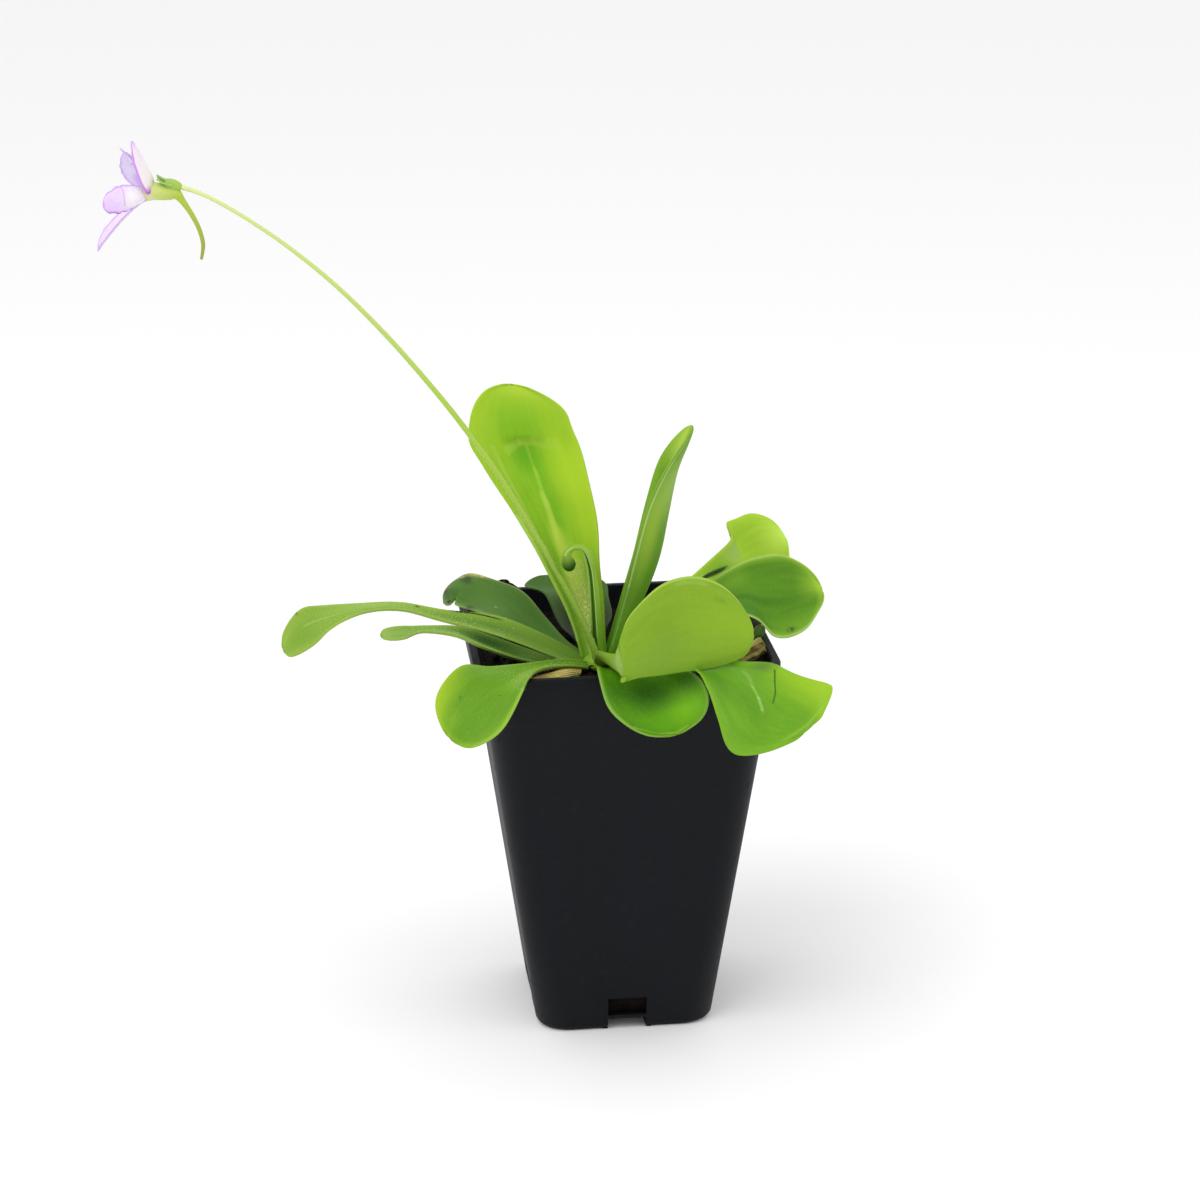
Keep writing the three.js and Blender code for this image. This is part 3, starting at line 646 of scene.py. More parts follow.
# %% [markdown]
# ## The thirteen leaves
# Twelve leaves are blades, and one is still rolled. Each blade has its own ribs: x, y, z, half
# width, heading, tilt and dip, in millimetres and degrees. The first rib lies in the crown.
# `round_from` says where along the leaf its tip begins to close, and `tip_power` makes the tip
# squarer when it is below one. A few leaves have a form of their own, such as a fold or a tear.
# A shape moves the blade up or down, and an outline makes it wider or narrower.

# %% Forms that only one leaf has
def tall_hollow(v, u):
    """A channel that ends in a sharp little step under the leaf's top."""
    filled = soft_step(v, 0.42, 0.73) * (1 - soft_step(v, 0.735, 0.765))
    return -1.5 * filled * np.clip(1 - (u / 0.42) ** 2, 0, 1)


def front_crease(v, u):
    return 0.6 * bell(u, 0, 0.1) * soft_step(v, 0.25, 0.5) * (1 - soft_step(v, 0.72, 0.8))


def tall_shoulder(v, u):
    """A squarer right shoulder, and a slight bulge on the left."""
    return 1 + (u > 0) * 0.2 * bell(v, 0.915, 0.085) + (u < 0) * 0.07 * bell(v, 0.74, 0.06)


def torn_tip(v, u):
    """A bite out of the old leaf's lower margin leaves its tip as a hook."""
    return 1 + (0.14 * bell(v, 0.88, 0.05) - 0.34 * bell(v, 0.812, 0.018, 4)) * soft_step(-u, 0, 0.8)


def front_fold(v, u):
    """The upper side is folded under where the leaf crosses the rim."""
    return 1 - (u < 0) * 0.58 * soft_step(v, 0.25, 0.42) * (1 - soft_step(v, 0.47, 0.6))


def middle_corner(v, u):
    """A softer corner at the tip, and a wider shoulder halfway."""
    return 1 + np.where(u > 0, -0.11, 0.04) * bell(v, 0.93, 0.06) + (u > 0) * 0.18 * bell(v, 0.52, 0.1)


def back_corner(v, u):
    """A small corner lobe just after the leaf's waist."""
    return 1 + (u < 0) * 0.12 * bell(v, 0.68, 0.05)


print("forms of five leaves")

# %% Ribs and forms of the leaves
LEAVES = {
    "leaf_tall": dict(round_from=0.72, curl=0.5, groove=0.5, wave=0.5, shape=tall_hollow,
                      outline=tall_shoulder, ribs=[
        (-6, -9, 96.2, 3.3, 0, 0, 1.4), (-7.7, -6.5, 107.7, 4.6, 0, 8, 2.6),
        (-10.4, -5, 118.3, 6.6, 0, 3, 2.8), (-14.4, -2.5, 132.1, 9.9, 0, 0, 2.6),
        (-20.1, 0, 146.6, 12.8, 0, 0, 2), (-23.6, 1, 157.5, 13.1, 0, -4, 1),
        (-24.5, 1, 166.6, 12.6, 0, -10, 0.4)]),
    "leaf_narrow": dict(round_from=0.86, curl=0.2, wave=0.3, ribs=[
        (-3.2, -8.2, 97.4, 2, -86, 5, 1.5), (0.3, -5.5, 107.7, 3.2, -92, 10, 4.2),
        (4.6, -5, 123.3, 4.3, -97, 12, 6), (8.2, -5, 136.6, 4.2, -93, 8, 5.3),
        (12.8, -4.5, 147.2, 3.8, -80, 0, 3.5), (19.4, -4, 155.7, 2.7, -73, 0, 0.9)]),
    "leaf_left_long": dict(round_from=0.8, tip_power=0.9, curl=0.4, groove=0.3, wave=0.3, ribs=[
        (-8.2, -11.8, 96.2, 2.8, 75, 8, 0.5), (-16.8, -9.5, 100.4, 3.3, 70, 18, 0.9),
        (-30.7, -8.8, 106.7, 3.9, 70, 17, 1), (-44.7, -7.9, 110, 2.6, 74, 11, 0.6),
        (-54.5, -6.8, 112.4, 1.9, 85, 11, 0.4), (-63.6, -5.9, 112.1, 2.2, 88, 14, 0.4),
        (-73, -5.4, 109.8, 4, 106, 30, 0.5), (-78.9, -5.9, 107.1, 5.3, 118, 51, 0.4),
        (-84.5, -6.6, 102.4, 5.3, 120, 55, 0.2)]),
    "leaf_left_small": dict(round_from=0.84, curl=0.4, groove=0.5, wave=0.2, ribs=[
        (-8.6, -12.8, 96.4, 1.6, 60, 5, 0.4), (-17, -16, 98.8, 2.2, 62, 5, 0.8),
        (-25.3, -16.5, 101.7, 3.4, 62, 4, 1.2), (-34.1, -16.5, 105.4, 3.5, 70, 5, 1.2),
        (-41.4, -15.9, 108.2, 3.1, 79, 1, 0.7), (-49.6, -15.4, 109, 2, 84, 1, 0.3),
        (-54.7, -15, 108, 3.3, 87, 10, 0.2), (-60.2, -14.8, 107.7, 3.3, 95, 20, 0.1)]),
    "leaf_left_broad": dict(round_from=0.66, curl=0.2, wave=1, groove=0.3, outline=torn_tip, rows=110,
                            ribs=[
        (-8, -8.2, 96.8, 2.2, 60, 5, 0.5), (-14.2, -4.4, 99.3, 3.6, 60, 3, 1),
        (-20.2, -0.5, 102.3, 6.7, 62, 9, 1.6), (-26.7, 3.8, 107.6, 8.7, 62, 10, 1.2),
        (-34, 6.7, 110.3, 8.4, 65, 11, 0.2), (-38.9, 8.2, 111.5, 8.5, 70, 14, -1.2),
        (-42.5, 8.9, 109.4, 8.2, 74, 15, -1.6)]),
    "leaf_back": dict(round_from=0.62, curl=0.5, wave=0.5, groove=0.4, ribs=[
        (-5.6, -7.4, 97.2, 1.8, 0, 0, 0.5), (-6.6, 0.6, 100.4, 4.8, 0, 5, 1.4),
        (-6.4, 8.5, 101.2, 7, 0, 7, 1.8), (-7.9, 18.2, 105.1, 8.5, 0, -4, 1.4),
        (-10.3, 25.3, 106.1, 11.6, 0, 2, 0.8), (-11.6, 30.8, 107, 10.5, 0, 2, 0.2)]),
    "leaf_front_left": dict(round_from=0.66, curl=0.5, wave=0.6, groove=0.2, ribs=[
        (-7.8, -13.4, 96.6, 2, 75, 5, 0.4), (-15, -20.5, 100.2, 2.4, 84, 4, 0.8),
        (-24.2, -32.1, 103.2, 2.7, 104, 5, 0.8), (-31, -41.1, 103.7, 6.2, 126, 17, 0.8),
        (-36.9, -45.1, 101.5, 9.1, 138, 38, 1), (-42.6, -48.1, 96.6, 9.7, 146, 35, 0.6),
        (-45.8, -49.5, 92.5, 8.9, 150, 41, 0.2)]),
    "leaf_right_round": dict(round_from=0.75, curl=0.5, wave=0.6, ribs=[
        (-4.6, -13.4, 97.2, 2.4, 190, 20, 0.3), (-5.6, -30.8, 104.4, 3, 180, 35, 0.6),
        (-3.7, -44.7, 107.4, 3, 150, 64, 0.8), (-3.4, -46.1, 109.7, 6.1, 110, 84, 0.6),
        (0.2, -46, 113.1, 8.3, 96, 77, 0.6), (6.3, -45.1, 115.7, 10.7, 96, 78, 0.6),
        (13.6, -43.3, 116.6, 11.4, 96, 75, 0.6), (22.2, -41.9, 115.5, 11, 96, 75, 0.4),
        (29.4, -40.8, 112.9, 10.2, 95, 71, 0.2)]),
    "leaf_front": dict(round_from=0.58, curl=0.7, wave=0.3, ribs=[
        (-4.8, -13.8, 96.2, 3, 180, -5, 0.3), (-3.2, -27, 100.6, 4, 182, -5, 1),
        (-0.5, -38.2, 103.8, 8.3, 186, 0, 0.7), (3.3, -44.3, 101.3, 11.8, 190, -10, 2.4),
        (6.5, -48.4, 96.2, 13.4, 190, -8, 2.4), (9.6, -49.1, 90.5, 12.2, 188, -13, 1.2)]),
    "leaf_right_front": dict(round_from=0.84, tip_power=0.7, curl=0.6, wave=0.5, shape=front_crease,
                             outline=front_fold, ribs=[
        (-2.6, -13.2, 96.6, 1.9, -122, 0, 0.3), (6.1, -23.9, 101.1, 3.4, -105, 0, 0.8),
        (15.1, -36.9, 105.1, 6, -112, 2, 0.6), (22.5, -44.9, 104.4, 10.4, -130, -7, 0.6),
        (28.7, -48.9, 99.1, 12.9, -146, -12, 0.6), (35, -50.7, 93.5, 15.3, -155, -22, 0.2),
        (41.3, -51.3, 91.3, 8.4, -158, -33, -0.6)]),
    "leaf_right_middle": dict(round_from=0.7, curl=0.5, wave=0.4, groove=0.5, outline=middle_corner,
                              ribs=[
        (-2.4, -9.8, 96.8, 1.6, -85, 0, 0.4), (11, -3, 101.8, 4.2, -89, -8, 1.2),
        (24, 2.5, 106.7, 7, -87, -12, 1.6), (34, 2.9, 109.3, 9.8, -84, -22, 1.4),
        (40.7, 3.8, 107.2, 12.4, -89, -39, 1), (48.7, 5.4, 107, 13.8, -88, -30, 0.4),
        (55.2, 6, 107.6, 11.2, -86, -27, 0)]),
    "leaf_right_back": dict(round_from=0.7, tip_power=0.9, curl=0.4, wave=0.5, groove=0.3,
                            outline=back_corner, ribs=[
        (-3.2, -8, 97, 1.5, -50, 0, 0.4), (12.4, 8, 102.8, 2.8, -58, -6, 0.8),
        (26.5, 20.5, 106.9, 4.1, -58, -12, 1), (36.2, 26.4, 109.8, 5.8, -53, -48, 1),
        (39.4, 28.9, 110.8, 9.2, -44, -44, 0.8), (45.2, 31, 113.8, 9.8, -42, -47, 0.2),
        (49.1, 31.9, 115.5, 8.1, -60, -41, -0.4)]),
}
print(len(LEAVES), "blades")

# %% Tones and marks of each leaf
# A wash or a spot: tone, place along and across, half its length, half its width and its strength.
# A line: tone, start along and across, end along and across, its width and its strength.
# A rim is the strength of a painted highlight line along the margin, and wet adds painted glints.
SKINS = {
    # Painted shade: #62A414, #74AE18, #6EAA18 in the hollow and channel. Painted light through the leaf:
    # #B2D038, #AACA28.
    "leaf_tall": dict(tones="#88B91F #7CAE1C #A6C532 #86B430 #98BA34", wet=True, border=0.55,
                      border_strength=0.6, washes=[
        ("#B2D038", 1, 0.1, 0.24, 1.3, 0.8), ("#A2C62C", 0.8, -0.9, 0.35, 0.7, 0.8),
        ("#74AE18", 0.84, 0, 0.16, 0.8, 0.5), ("#62A414", 0.68, -0.05, 0.1, 0.5, 1),
        ("#6EAA18", 0.56, 0.05, 0.22, 0.3, 0.7), ("#AACA28", 0.6, 0.75, 0.38, 0.75, 0.8),
        ("#64921C", 0.22, -0.7, 0.26, 0.5, 0.6)], lines=[
        ("#B0CC4C", 0.71, -0.4, 0.74, -0.1, 0.06, 0.35), ("#B0CC4C", 0.74, -0.1, 0.742, 0.2, 0.06, 0.4),
        ("#A8CC48", 0.742, 0.2, 0.73, 0.6, 0.09, 0.25), ("#A0C63C", 0.735, 0, 0.63, -0.02, 0.04, 0.35),
        ("#A8CC48", 0.63, -0.02, 0.55, -0.1, 0.06, 0.4), ("#B4D050", 0.55, -0.1, 0.42, -0.2, 0.1, 0.6),
        ("#BCD24A", 0.42, -0.16, 0.26, -0.06, 0.26, 0.6), ("#B8D048", 0.3, 0, 0.1, 0, 0.5, 0.8),
        ("#B4D058", 0.72, -0.62, 0.45, -0.7, 0.05, 0.3), ("#B8D468", 0.5, -0.97, 0.1, -0.97, 0.06, 0.5)]),
    # 8EB054 is a painted sheen on the front half, and #2E640C is painted shade on the back half's foot.
    "leaf_narrow": dict(tones="#78A52A #66961E #8CB430 #5A9018 #689430", border_strength=0.4, washes=[
        ("#8EB054", 0.7, 0.5, 0.25, 0.6, 0.9), ("#568E1A", 0.3, 0.5, 0.3, 0.9, 0.7),
        ("#A8C44C", 0.92, -0.4, 0.2, 0.9, 0.9), ("#94B63C", 0.5, 0.75, 0.3, 0.4, 0.8),
        ("#2E640C", 0.25, -0.6, 0.2, 0.5, 0.8)], lines=[
        ("#C8DC98", 0.3, 0.93, 0.92, 0.93, 0.028, 0.45), ("#C8DC98", 0.08, 0.93, 0.3, 0.93, 0.028, 0.3)]),
    # The near-black #0E180A line and spot by its base are a painted shadow of the broad leaf's edge.
    "leaf_left_long": dict(tones="#80A238 #789C30 #94B048 #5A8024 #86A644", border_strength=0.5, washes=[
        ("#70982C", 0.9, -0.2, 0.2, 1, 0.7), ("#92B456", 0.6, 0.5, 0.2, 1.3, 0.7),
        ("#567C26", 0.26, 0, 0.24, 1.2, 0.9)], lines=[
        ("#A4C068", 0.72, 0, 0.86, 0.15, 0.06, 0.4), ("#0E180A", 0.35, 1, 0.26, 0.84, 0.05, 0.95)], spots=[
        ("#141E0A", 0.452, 0.62, 0.02, 0.34, 1), ("#0E180A", 0.335, 0.95, 0.035, 0.16, 1),
        ("#5A6A2A", 0.885, 0.97, 0.012, 0.14, 0.8)]),
    # Its near-black base tone, up to base_end, and the #1C4206 wash are painted shade inside the pot.
    "leaf_left_small": dict(tones="#78A038 #6A902E #98B454 #1E3A0C #86A448", border_strength=0.5,
                            base_end=0.52, bloom=0.02, washes=[
        ("#1C4206", 0.42, 0.4, 0.3, 1.6, 1), ("#8CAA54", 0.92, 0, 0.24, 1.4, 0.6)], lines=[
        ("#86AA48", 0.4, -0.97, 0.62, -0.97, 0.16, 0.6)]),
    # 1C2C10 at its lower margin is a painted shadow where it lies against the long leaf.
    "leaf_left_broad": dict(tones="#4C7527 #436B24 #5E7C34 #4C6C24 #587A34", rim=0.15, washes=[
        ("#A89C54", 0.79, 0.95, 0.11, 0.34, 1), ("#34401C", 0.8, 0.35, 0.07, 0.34, 0.9),
        ("#8E8C48", 0.93, 0.25, 0.05, 0.6, 0.7), ("#3E6420", 0.42, 0.7, 0.34, 0.7, 0.8),
        ("#5E8A2E", 0.35, -0.8, 0.26, 0.7, 0.8), ("#385820", 0.88, -0.5, 0.1, 0.5, 0.9),
        ("#1C2C10", 0.66, -1, 0.05, 0.35, 0.9)], spots=[
        ("#C8BC8C", 0.85, 0.6, 0.05, 0.2, 0.8), ("#CCC878", 0.74, 0.95, 0.09, 0.14, 1),
        ("#2C2C18", 0.8, 0.55, 0.05, 0.14, 0.9), ("#1A2010", 0.86, -0.9, 0.05, 0.2, 1),
        ("#1E2A14", 0.93, -0.25, 0.06, 0.4, 0.9), ("#98B070", 0.55, -0.3, 0.012, 0.06, 0.8)]),
    # Its brown-black base tone, up to base_end, and the #100C06 wash are painted shade deep in the pot.
    "leaf_back": dict(tones="#3F641C #385A18 #466826 #1C160A #587A34", base_end=0.75, bloom=0.01, washes=[
        ("#100C06", 0.34, 0, 0.4, 1.8, 1)]),
    "leaf_front_left": dict(tones="#64951A #5C8C16 #8EB426 #6C9428 #86A434", border=0.65,
                            border_strength=0.5, washes=[
        ("#9CBC28", 0.86, 0.95, 0.3, 0.6, 0.85), ("#84B028", 0.9, 0.3, 0.14, 0.5, 0.35),
        ("#6E9838", 0.52, 0.9, 0.24, 0.6, 0.8), ("#588A18", 0.82, -0.3, 0.24, 0.6, 0.6),
        ("#7E9E30", 0.3, -0.3, 0.2, 1.1, 0.6), ("#82A63A", 0.42, -0.35, 0.16, 0.6, 0.6)], lines=[
        ("#98BC50", 0.5, -0.98, 0.9, -0.98, 0.05, 0.4)], spots=[
        ("#305A10", 0.76, 0.42, 0.012, 0.05, 0.9), ("#305A10", 0.6, -0.3, 0.01, 0.04, 0.8)]),
    # The pale #A4C468 line near its top is a painted highlight.
    "leaf_right_round": dict(tones="#749622 #6A981A #82A826 #6E8E30 #749622", washes=[
        ("#84AA22", 0.95, 0.1, 0.32, 1.3, 0.7), ("#6E9830", 0.6, -0.5, 0.28, 0.7, 0.5),
        ("#5E8E1E", 0.75, -1.1, 0.4, 0.4, 0.7), ("#88A854", 0.3, 0, 0.12, 1.2, 0.9)], lines=[
        ("#AECC58", 0.4, 0.99, 0.95, 0.99, 0.05, 0.5), ("#A4C468", 0.72, 0.9, 0.8, 0.88, 0.08, 0.2)],
        spots=[("#5A8820", 0.86, 0.6, 0.04, 0.14, 0.6)]),
    # 185000, #1C5400 and #3A7206 are a painted shadow of the round leaf; the pale #A0C458 lines are a
    # painted highlight.
    "leaf_front": dict(tones="#568F0A #4C8406 #74A41E #6C9228 #82A42A", border=0.78, border_strength=0.45,
                       rim=0.15, washes=[
        ("#3A7206", 0.55, 0.7, 0.16, 0.5, 0.8), ("#74B410", 0.82, -0.5, 0.22, 0.8, 0.9),
        ("#185000", 0.62, 0.05, 0.26, 1.05, 0.9), ("#1C5400", 0.6, -0.85, 0.16, 0.5, 0.7),
        ("#58A004", 0.88, 0.2, 0.14, 0.8, 0.6)], lines=[
        ("#A0C458", 0.86, 0.93, 0.95, 0.6, 0.03, 0.3), ("#A0C458", 0.95, 0.6, 0.985, 0, 0.03, 0.3),
        ("#A0C458", 0.985, 0, 0.95, -0.6, 0.03, 0.3)]),
    "leaf_right_front": dict(tones="#689E1E #5E9418 #80B028 #6A9430 #82A42A", border_strength=0.4, washes=[
        ("#94BC22", 0.82, -0.95, 0.36, 0.8, 0.9), ("#487E10", 0.5, 0.5, 0.2, 0.6, 0.7),
        ("#507030", 0.57, -0.85, 0.06, 0.4, 0.7), ("#609420", 0.56, -0.3, 0.16, 0.5, 0.5),
        ("#4C8210", 0.67, 0.2, 0.16, 0.4, 0.5)], lines=[
        ("#98BC60", 0.54, -0.42, 0.62, -0.12, 0.04, 0.3), ("#A4C868", 0.62, -0.12, 0.68, 0, 0.035, 0.36),
        ("#A8CC70", 0.68, 0, 0.735, 0.1, 0.03, 0.45), ("#2C4A10", 0.61, -0.86, 0.655, -0.58, 0.013, 0.8),
        ("#2C4A10", 0.655, -0.58, 0.7, -0.36, 0.012, 0.8),
        ("#2C4A10", 0.7, -0.36, 0.735, -0.14, 0.014, 0.7), ("#A0C450", 0.94, 0.6, 0.97, -0.1, 0.04, 0.22),
        ("#A0C450", 0.97, -0.1, 0.94, -0.85, 0.04, 0.22)], spots=[
        ("#8A8440", 0.75, 0.12, 0.012, 0.035, 0.9)]),
    "leaf_right_middle": dict(tones="#528414 #4A7A0E #88B02A #3C6E14 #82A42A", border=0.62,
                              border_strength=0.7, rim=0.3, washes=[
        ("#98C030", 1.02, -0.3, 0.22, 1, 0.8), ("#346C08", 0.58, 0.1, 0.4, 0.22, 0.8),
        ("#6C9E20", 0.8, 0.85, 0.26, 0.5, 0.7), ("#38700C", 0.5, 0.6, 0.14, 0.6, 0.7),
        ("#6E9C22", 0.48, -0.6, 0.14, 0.5, 0.6)], spots=[
        ("#3C3C18", 0.76, 0.84, 0.036, 0.12, 1)]),
    # The dark #123408 line is painted shade in the gap under its stalk, by the middle leaf's edge.
    "leaf_right_back": dict(tones="#9CC030 #90B82A #ACD040 #789C2C #82A42A", border_strength=0.5, washes=[
        ("#B8D850", 0.97, 0.1, 0.26, 1.3, 0.8), ("#90AC5C", 0.53, -0.5, 0.13, 0.8, 0.8),
        ("#5C8824", 0.41, 0, 0.09, 1.2, 0.7)], lines=[
        ("#123408", 0.34, -0.42, 0.405, -0.15, 0.13, 1)]),
}
print(sum(len(skin.get("washes", ())) for skin in SKINS.values()), "washes on", len(SKINS), "leaves")

# %% The blades
OLD_LEAVES = ("leaf_left_broad", "leaf_back")
for name, made in LEAVES.items():
    leaf = make_blade(name + "_blade", finish=leaf_skin(name + "_skin", **SKINS[name]), **made)
    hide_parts(name)

# %% [markdown]
# ## Rolled and round pieces
# Stalks, the crown, the furled leaf and one withered leaf are tubes on a bent line, which is a
# table of x, y, z and radius. The furled leaf is slit down its front, because its two margins have
# not yet opened. Its section is a long curve that comes back along its own inside, so the roll has
# a real thickness.

# %% Tubes
def carried_sides(middle):
    """Two directions square to a line, carried along it without twisting."""
    ahead = unit(np.gradient(middle, axis=0))
    side = np.cross([0, 1, 0.02], ahead[0])
    sides = []
    for a in ahead:
        side = unit(side - a * np.dot(side, a))
        sides.append(side)
    return np.array(sides), np.cross(ahead, sides)


def swept(line, first, second, angle, radius):
    """Rings round a line. The angle turns from the first direction to the second."""
    out = first[:, None] * np.cos(angle)[..., None] + second[:, None] * np.sin(angle)[..., None]
    return line[:, None, :3] + out * radius[..., None]


def tube_rings(stations, steps, count, uneven=0):
    line = through(stations, np.linspace(0, 1, steps + 1))
    angle = np.linspace(0, 2 * math.pi, count, endpoint=False)
    swell = 1 + uneven * np.sin(np.arange(steps + 1) * 1.7)[:, None] * np.cos(3 * angle)
    return swept(line, *carried_sides(line[:, :3]), angle, line[:, 3:4] * swell)


def make_tube(name, stations, finish, steps, count, uneven=0):
    rings = tube_rings(stations, steps, count, uneven)
    along = np.linspace(0, 1, steps + 1)[:, None] * np.ones(count)
    around = np.linspace(0, 1, count, endpoint=False) * np.ones_like(along)
    values = {"along": along, "across": np.sin(around * 2 * math.pi), "upper": np.ones_like(along)}
    return put_mesh(name, *ring_body(rings), finish, values)


print("tube of", tube_rings([(0, 0, 0, 1), (0, 0, 5, 1)], 4, 8).shape[1], "sides")

# %% Rolls
ROLL_COUNT = 22


def make_roll(name, stations, finish, steps, opening, gap, wall, ragged=0, closing=0):
    """A slit roll. Its slit faces the opening, and gap is the slit's half angle at the start."""
    places = np.linspace(0, 1, steps + 1)
    line = through(stations, places)
    ahead = unit(np.gradient(line[:, :3], axis=0))
    front = unit(np.array(opening) - ahead * (ahead @ np.array(opening))[:, None])
    gap = gap * (1 - closing * soft_step(places, 0.3, 0.6))
    sweep = gap[:, None] + (2 * math.pi - 2 * gap)[:, None] * np.linspace(0, 1, ROLL_COUNT)
    angle = np.concatenate([sweep, sweep[:, ::-1]], axis=1)
    inner = np.repeat([0.0, 1.0], ROLL_COUNT)
    crinkle = 1 + ragged * np.sin(angle * 4 + np.arange(steps + 1)[:, None] * 0.9)
    rings = swept(line, front, np.cross(ahead, front), angle, (line[:, 3:4] - wall * inner) * crinkle)
    back_and_forth = np.concatenate([np.linspace(-1, 1, ROLL_COUNT), np.linspace(1, -1, ROLL_COUNT)])
    everywhere = np.ones_like(angle)
    values = {"along": places[:, None] * everywhere, "across": back_and_forth * everywhere,
              "upper": inner * everywhere}
    return put_mesh(name, *ring_body(rings), finish, values)


print("a roll has", 2 * ROLL_COUNT, "points round")

# %% Furled leaf
# 1E4A04 is painted shade in the curled tip's hollow end; the bright inside tones are painted light through
# the leaf.
furled_skin = leaf_skin("furled_skin", tones="#78B434 #6CA82C #BCD470 #6C9A24 #7CA82A", border=0.86,
                        bloom=0.02, border_strength=1, washes=[
    ("#1E4A04", 0.9, 0, 0.3, 9, 1)], lines=[
    ("#C8DC90", 0.1, 0.97, 0.7, 0.97, 0.04, 0.6), ("#C8DC90", 0.1, -0.97, 0.7, -0.97, 0.04, 0.6)])
FURLED = [(-5.4, -11, 96.8, 1.4), (-5.6, -10.9, 104, 1.5), (-5.9, -10.8, 110.4, 1.45),
          (-6.3, -10.6, 117, 1.4), (-6.9, -10.6, 122.2, 1.3), (-8.2, -10.6, 126, 1),
          (-10.4, -10.6, 127.3, 0.75), (-12.3, -10.6, 126.4, 0.8), (-13, -10.8, 124.8, 1.2),
          (-12.7, -11, 123.3, 1.7), (-12, -11, 122.2, 1.5), (-11.5, -11, 121.6, 0.7)]
furled = make_roll("leaf_furled_roll", FURLED, furled_skin, steps=110, opening=(-0.65, -0.75, 0), gap=0.55,
                   wall=0.5, closing=0.96)
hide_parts("leaf_furled")
print(furled.name, len(furled.data.polygons), "faces")

# %% [markdown]
# ## The crown and the withered leaves
# All leaf bases meet in a short green crown. A few old leaves have dried: one is a tan roll, one
# a limp olive strip, and one a yellow scrap on the soil by the front rim. Dry leaves lose their
# gloss and show wrinkles along their length.

# %% Crown
crown_skin = leaf_skin("crown_skin", tones="#7CAA2C #6C9A24 #9ABA2C #6C9A24 #7CA830")
CROWN_LINE = [(-5.5, -10.5, 86, 2), (-5.5, -10.5, 92, 3.2), (-5.5, -10.6, 94.6, 3.8),
              (-5.5, -10.8, 96.4, 4), (-5.6, -10.8, 97.8, 3.3), (-5.6, -10.6, 99.2, 1.4)]
crown = make_tube("crown_heart", CROWN_LINE, crown_skin, steps=30, count=24, uneven=0.03)
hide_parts("crown")
print(crown.name)

# %% Withered finish
def dry_skin(name, tones):
    """The tones are those of the lighter patches, the darker patches and the margin."""
    r = Recipe(name)
    light, dark, edge = paints(tones)
    along, across = r.read("along", "across")
    cloud, fine = r.fleck(330, 4), r.fleck(1800, 4)
    fibres = (across * 24 + cloud * 5).sine()
    colour = r.blend(r.fade(cloud, 0.35, 0.68), dark, light)
    colour = r.blend(r.fade(fibres, 0.2, 1) * 0.2, colour, edge)
    rim = r.fade(abs(across), 0.8, 1) + r.fade(along, 0.88, 1)
    colour = r.blend(r.fade(rim, 0.1, 0.9) * 0.75, colour, edge)
    return r.finish(colour, 0.72 + 0.2 * fine, 0.25, relief=(fibres * 0.6 + fine, 0.00035, 0.7),
                    glow=(0.08, 1, 0.7, 0.3))


print("dry leaf finish")

# %% Withered leaves
dry_tan = dry_skin("dry_tan", "#D8C880 #A89C50 #7C7438")
limp_olive = dry_skin("limp_olive", "#4E7A2C #3A6220 #5C5A2C")
yellow_shred = dry_skin("yellow_shred", "#D6C474 #B8A650 #9A7438")
ROLL = [(4.4, -16, 97.4, 0.9), (14, -17.4, 97.6, 1.3), (24, -19.2, 98.2, 1.6), (30, -20.2, 99.8, 2.2),
        (35.4, -21, 102.8, 2.1)]
STRIP = [(14, -9.4, 96.3, 1.4, 90, 0, 0.2), (24, -12.4, 98, 2, 90, 6, 0.5),
         (31.2, -14.2, 99.8, 2.6, 70, 12, 0.8), (34.6, -13.8, 102.4, 2.4, 35, 8, 0.5),
         (35.4, -13.4, 105.4, 2.2, 20, 5, 0.2)]
SCRAP = [(-11.6, -21.2, 97.3, 1.8, 60, 15, -0.4), (-15.8, -26.4, 98.2, 2.6, 70, 25, -0.8),
         (-20.2, -30.8, 98.9, 3, 80, 24, -0.6), (-24.6, -33.8, 100.5, 1.7, 90, 22, -0.2)]
roll = make_roll("dry_leaf_roll", ROLL, dry_tan, steps=60, opening=(0.2, -1, 0.6), gap=0.35, wall=0.35,
                 ragged=0.1)
small = dict(rows=40, columns=14, edge=0.4)
strip = make_blade("dry_leaf_limp", STRIP, limp_olive, thick=0.8, wave=1.4, curl=0.6, **small)
scrap = make_blade("dry_leaf_shred", SCRAP, yellow_shred, thick=0.7, wave=1.6, curl=0.4, **small)
for piece, node_name in ((roll, "dry_leaf_rolled"), (strip, "dry_leaf_strip"), (scrap, "dry_leaf_scrap")):
    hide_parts(node_name)
print("three withered leaves")

# %% [markdown]
# ## The flower
# One flower nods at the end of a long stalk. Behind it a green calyx holds a yellow-green tube,
# which runs back into a curved spur. In front five lobes spread: two up, two sideways and one
# down. The far upper one ends in a small tooth, which is a piece of its own here. Each lobe is
# pale in its middle, violet at its margin and magenta at its foot, round a yellow-green throat.

# %% Stalk and tube finish
def stem_skin(name, tones):
    """The tones are those of the start, the middle and the end of the stem."""
    r = Recipe(name)
    along, fine = *r.read("along"), r.fleck(2400, 3)
    shades = r.node("ShaderNodeValToRGB", {}, {0: along})
    stops = shades.socket.node.color_ramp.elements
    stops.new(1)
    for stop, place, tone in zip(stops, (0, 0.5, 1), paints(tones)):
        stop.position, stop.color = place, tone
    colour = r.blend(r.fade(fine, 0.5, 0.8) * 0.1, shades, paint("#F6F8D0"))
    return r.finish(colour, 0.42 + 0.15 * fine, 0.4, relief=(fine, 0.0001, 0.5), glow=(0.15, 0.6, 1, 0.3))


